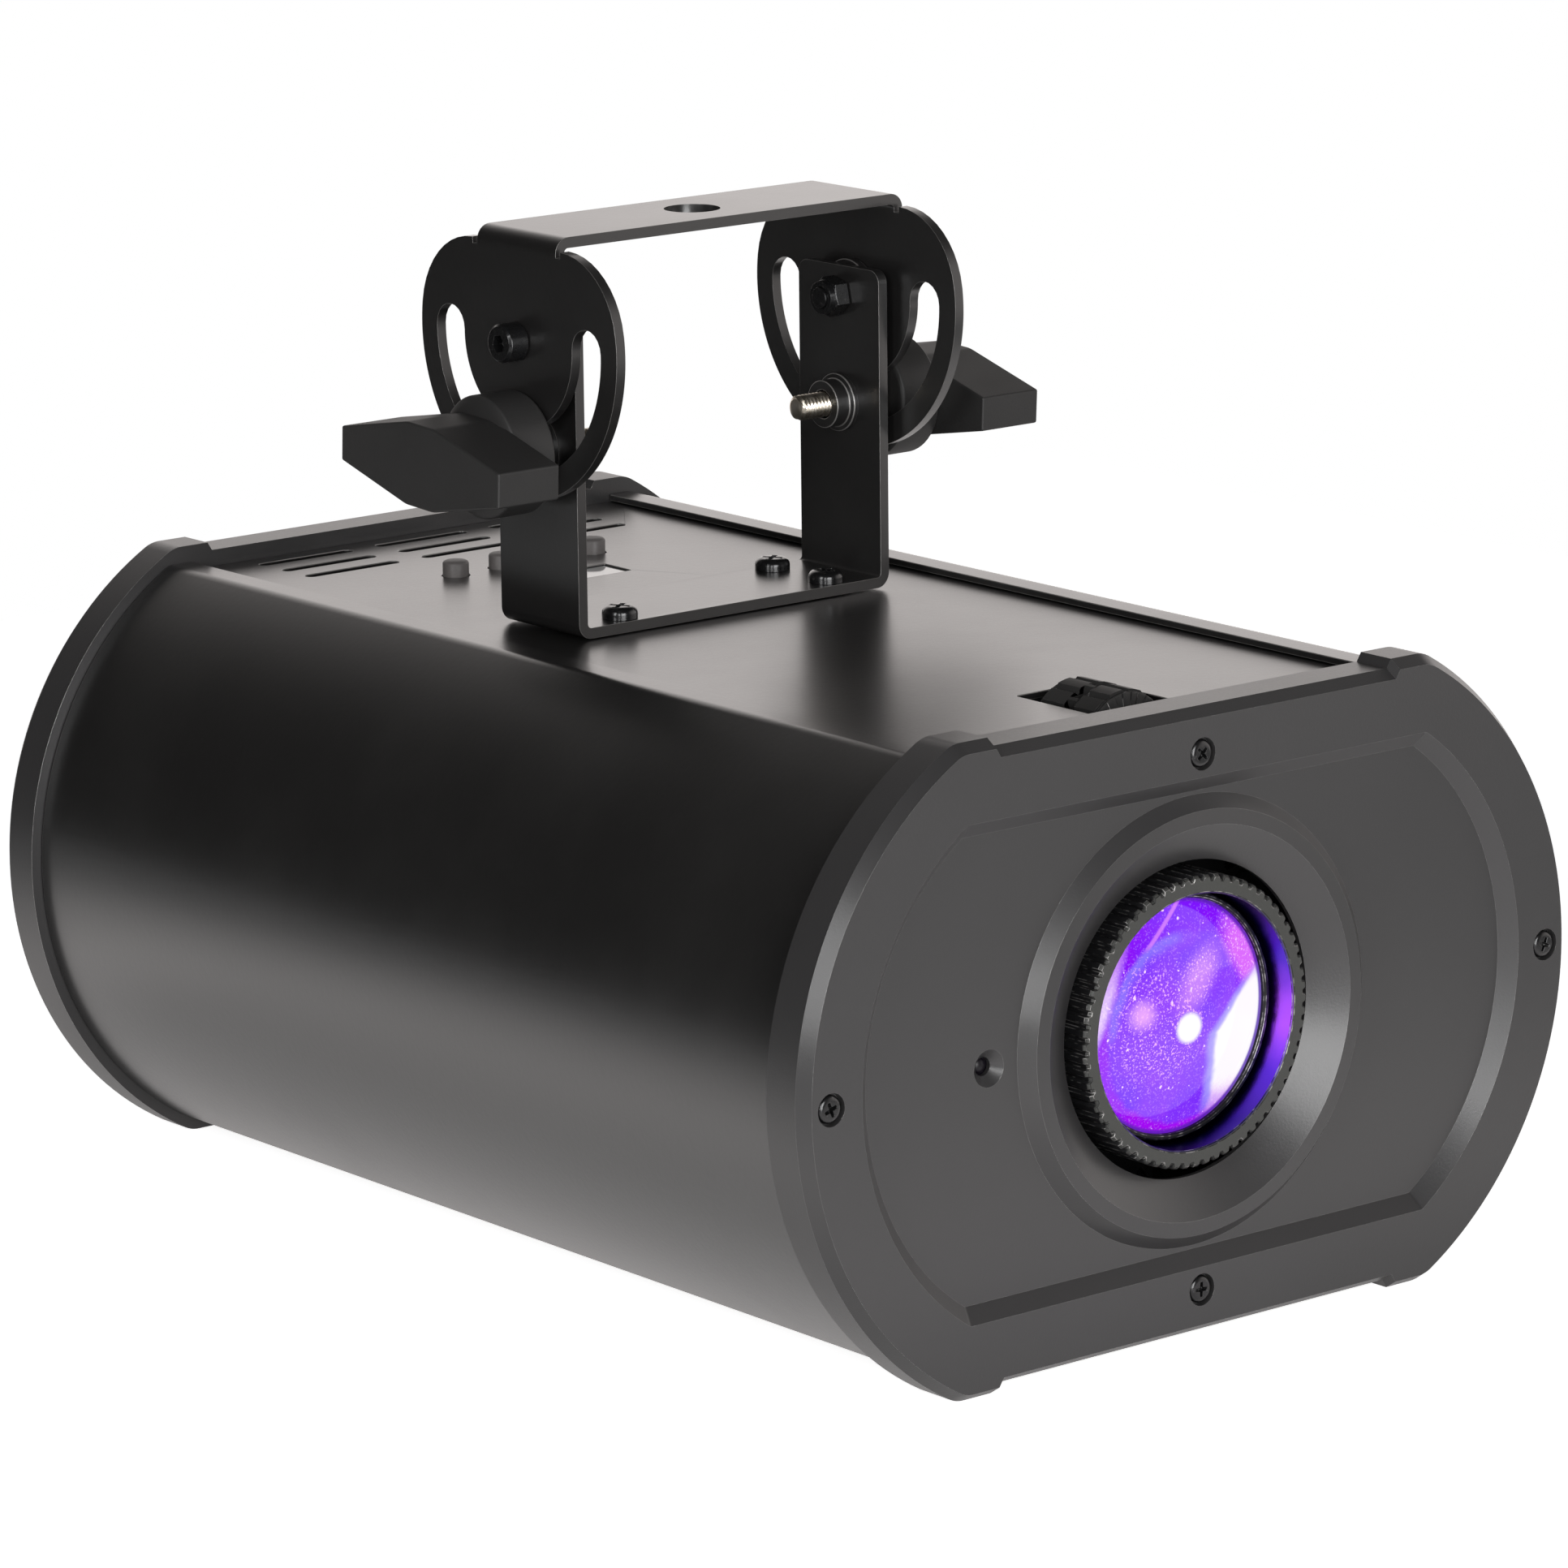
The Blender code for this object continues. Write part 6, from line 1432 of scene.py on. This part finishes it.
# Display window: a pane painted pale, a painted reflection of the white backdrop in its smoked glass, pressed
# up through the opening in the panel, its border below it.
# It is polished and coated, and has faint wiping marks.
border = rectangle(0.031, 0.014)
pane = rectangle(0.0264, 0.0094)
border_height = 0.0015
pane_height = 0.0029
pane_sink = 0.0018

bm = bmesh.new()
steps = ((border, 0), (border, border_height), (pane, border_height), (pane, pane_height))
solid(bm, lying(panel_top - sheet - pane_sink, 0, display_depth), steps)
# The pane's pale colour is a painted reflection of the white backdrop.
wiped_and_painted_pale = mottled(120, (0.86, 0.86, 0.86), (0.93, 0.93, 0.93), 0.05, 0.07, (), 2.0, 0.5)
window = finished("display_window_painted_reflection", wiped_and_painted_pale, Coat_Weight=1.0, IOR=1.6)
piece("display_pane", bm, window, "housing", "smoked_window", ["display_window"], edge=0.0002)

# Boards, kept from the CAD model: the control board under the top panel and the power supply by the fan.
# Green solder mask with copper tracks, and parts told apart by how high they stand.
control_board_top = 0.1224
control_parts_top = 0.1270
power_board_top = 0.0130
power_parts_top = 0.0330


def circuit(place, board_top, low_parts_top, low_part, high_part):
    """Mask and tracks up to the board's top, then two colors of parts by height."""
    height = place.axis(2)
    track = place.noise(420, 1.0).rise(0.52, 0.54)
    mask = track.between((0.010, 0.085, 0.040), (0.03, 0.16, 0.07))
    parts = height.rise(low_parts_top, low_parts_top + 0.0002).between(low_part, high_part)
    grain = place.noise(1500, 2.0)
    return {
        "Base Color": height.rise(board_top, board_top + 0.0001).between(mask, parts),
        "Roughness": 0.3 + 0.25 * grain,
        "Normal": track.bumped(0.00005, 0.5),
    }


def control_circuit(place):
    return circuit(place, control_board_top, control_parts_top, (0.62, 0.60, 0.56), (0.02, 0.02, 0.02))


def power_circuit(place):
    return circuit(place, power_board_top, power_parts_top, (0.55, 0.42, 0.08), (0.05, 0.08, 0.18))


dress(finished("control_circuit", control_circuit), "control_board")
dress(finished("power_circuit", power_circuit), "power_supply")

# Floor: a plain pale sheet that keeps the soft shadow. It looks white to the camera and through glass.
# Gloss sees it glowing warm round the object, with a painted shadow dimming that glow close under it, and
# dark far from it.
floor_reach = 0.65
footprint_half_width = 0.107
paint_white = 0.86
glow_share = 0.62


def looked_at(tree):
    """1 for rays that come straight from the camera or through glass, and 1 for rays that gloss sends."""
    paths = tree.nodes.new("ShaderNodeLightPath").outputs
    straight = Strand(tree, paths["Is Camera Ray"]) + Strand(tree, paths["Is Transmission Ray"])
    return straight.math("MINIMUM", 1.0), Strand(tree, paths["Is Glossy Ray"])


floor_mesh = bmesh.new()
bmesh.ops.create_grid(floor_mesh, x_segments=1, y_segments=1, size=floor_reach)
mesh = bpy.data.meshes.new("pale_floor")
floor_mesh.to_mesh(mesh)
floor_mesh.free()
floor = bpy.data.objects.new("pale_floor", mesh)
bpy.context.scene.collection.objects.link(floor)
material = bpy.data.materials.new("pale_floor")
material.use_nodes = True
tree = material.node_tree
tree.nodes.remove(tree.nodes["Principled BSDF"])
straight, glossy = looked_at(tree)
spot = Strand(tree, tree.nodes.new("ShaderNodeTexCoord").outputs["Object"])
beyond_side = (spot.axis(0).math("ABSOLUTE") - footprint_half_width).math("MAXIMUM", 0.0)
beyond_end = (spot.axis(1).math("ABSOLUTE") - body_length / 2).math("MAXIMUM", 0.0)
beyond = (beyond_side * beyond_side + beyond_end * beyond_end).math("SQRT")
# Painted shadow: the glow that gloss sees is dimmed close round the object's footprint.
mirrored_glow = glossy * (0.45 + 0.55 * beyond.rise(0.0, 0.09)) * (1 - beyond.rise(0.06, 0.34))
seen = straight * paint_white + mirrored_glow * glow_share
tone = glossy.between((1.0, 1.0, 1.0), (1.0, 0.945, 0.93))
paint = seen.node("BsdfDiffuse", {}, {"Color": (paint_white, paint_white, paint_white, 1)})
glow = seen.node("Emission", {}, {"Color": tone, "Strength": seen})
both = seen.node("AddShader", {}, {0: paint, 1: glow})
tree.links.new(both.socket, tree.nodes["Material Output"].inputs["Surface"])
mesh.materials.append(material)

# Light: a large softbox in front, to the right of the camera, a weaker one at the left,
# and a narrow strip beside the camera, which draws the fine bright lines along the rounded edges.
# The world fills in evenly, and gloss sees a warm white screen in it behind and to the right.
world_fill = 0.12
gloss_fill = 0.02
warm_white = (1.0, 0.945, 0.92)


def soft_lamp(name, towards, distance, width, height, power):
    """A softbox that stands in the given direction from the middle of the light and faces it."""
    direction = Vector(towards).normalized()
    lamp = bpy.data.objects.new(name, bpy.data.lights.new(name, "AREA"))
    lamp.data.shape = "RECTANGLE"
    lamp.data.size = width
    lamp.data.size_y = height
    lamp.data.energy = power
    lamp.location = Vector((0, 0, axis_height)) + direction * distance
    lamp.rotation_euler = direction.to_track_quat("Z", "Y").to_euler()
    bpy.context.scene.collection.objects.link(lamp)


soft_lamp("front_softbox", (-0.27, -0.95, 0.13), 1.7, 0.75, 1.2, 20)
soft_lamp("left_softbox", (-0.87, -0.30, 0.34), 1.9, 0.42, 1.1, 9)
soft_lamp("camera_strip", (-0.67, -0.70, 0.22), 1.6, 0.16, 0.7, 3.2)

world = bpy.data.worlds.new("pale_studio")
bpy.context.scene.world = world
world.use_nodes = True
tree = world.node_tree
straight, glossy = looked_at(tree)
aim = Strand(tree, tree.nodes.new("ShaderNodeTexCoord").outputs["Generated"])
beside = (aim.axis(0) * 0.95 + aim.axis(1) * 0.30).rise(0.0, 0.52)
screen = beside * (1 - aim.axis(2).rise(0.35, 0.75))
strength = world_fill + straight * (1 - world_fill) + glossy * (screen * 0.98 - (world_fill - gloss_fill))
warmth = glossy.between((1.0, 1.0, 1.0), warm_white)
for node in tree.nodes:
    if node.type == "BACKGROUND":
        tree.links.new(strength.socket, node.inputs["Strength"])
        tree.links.new(warmth.socket, node.inputs["Color"])
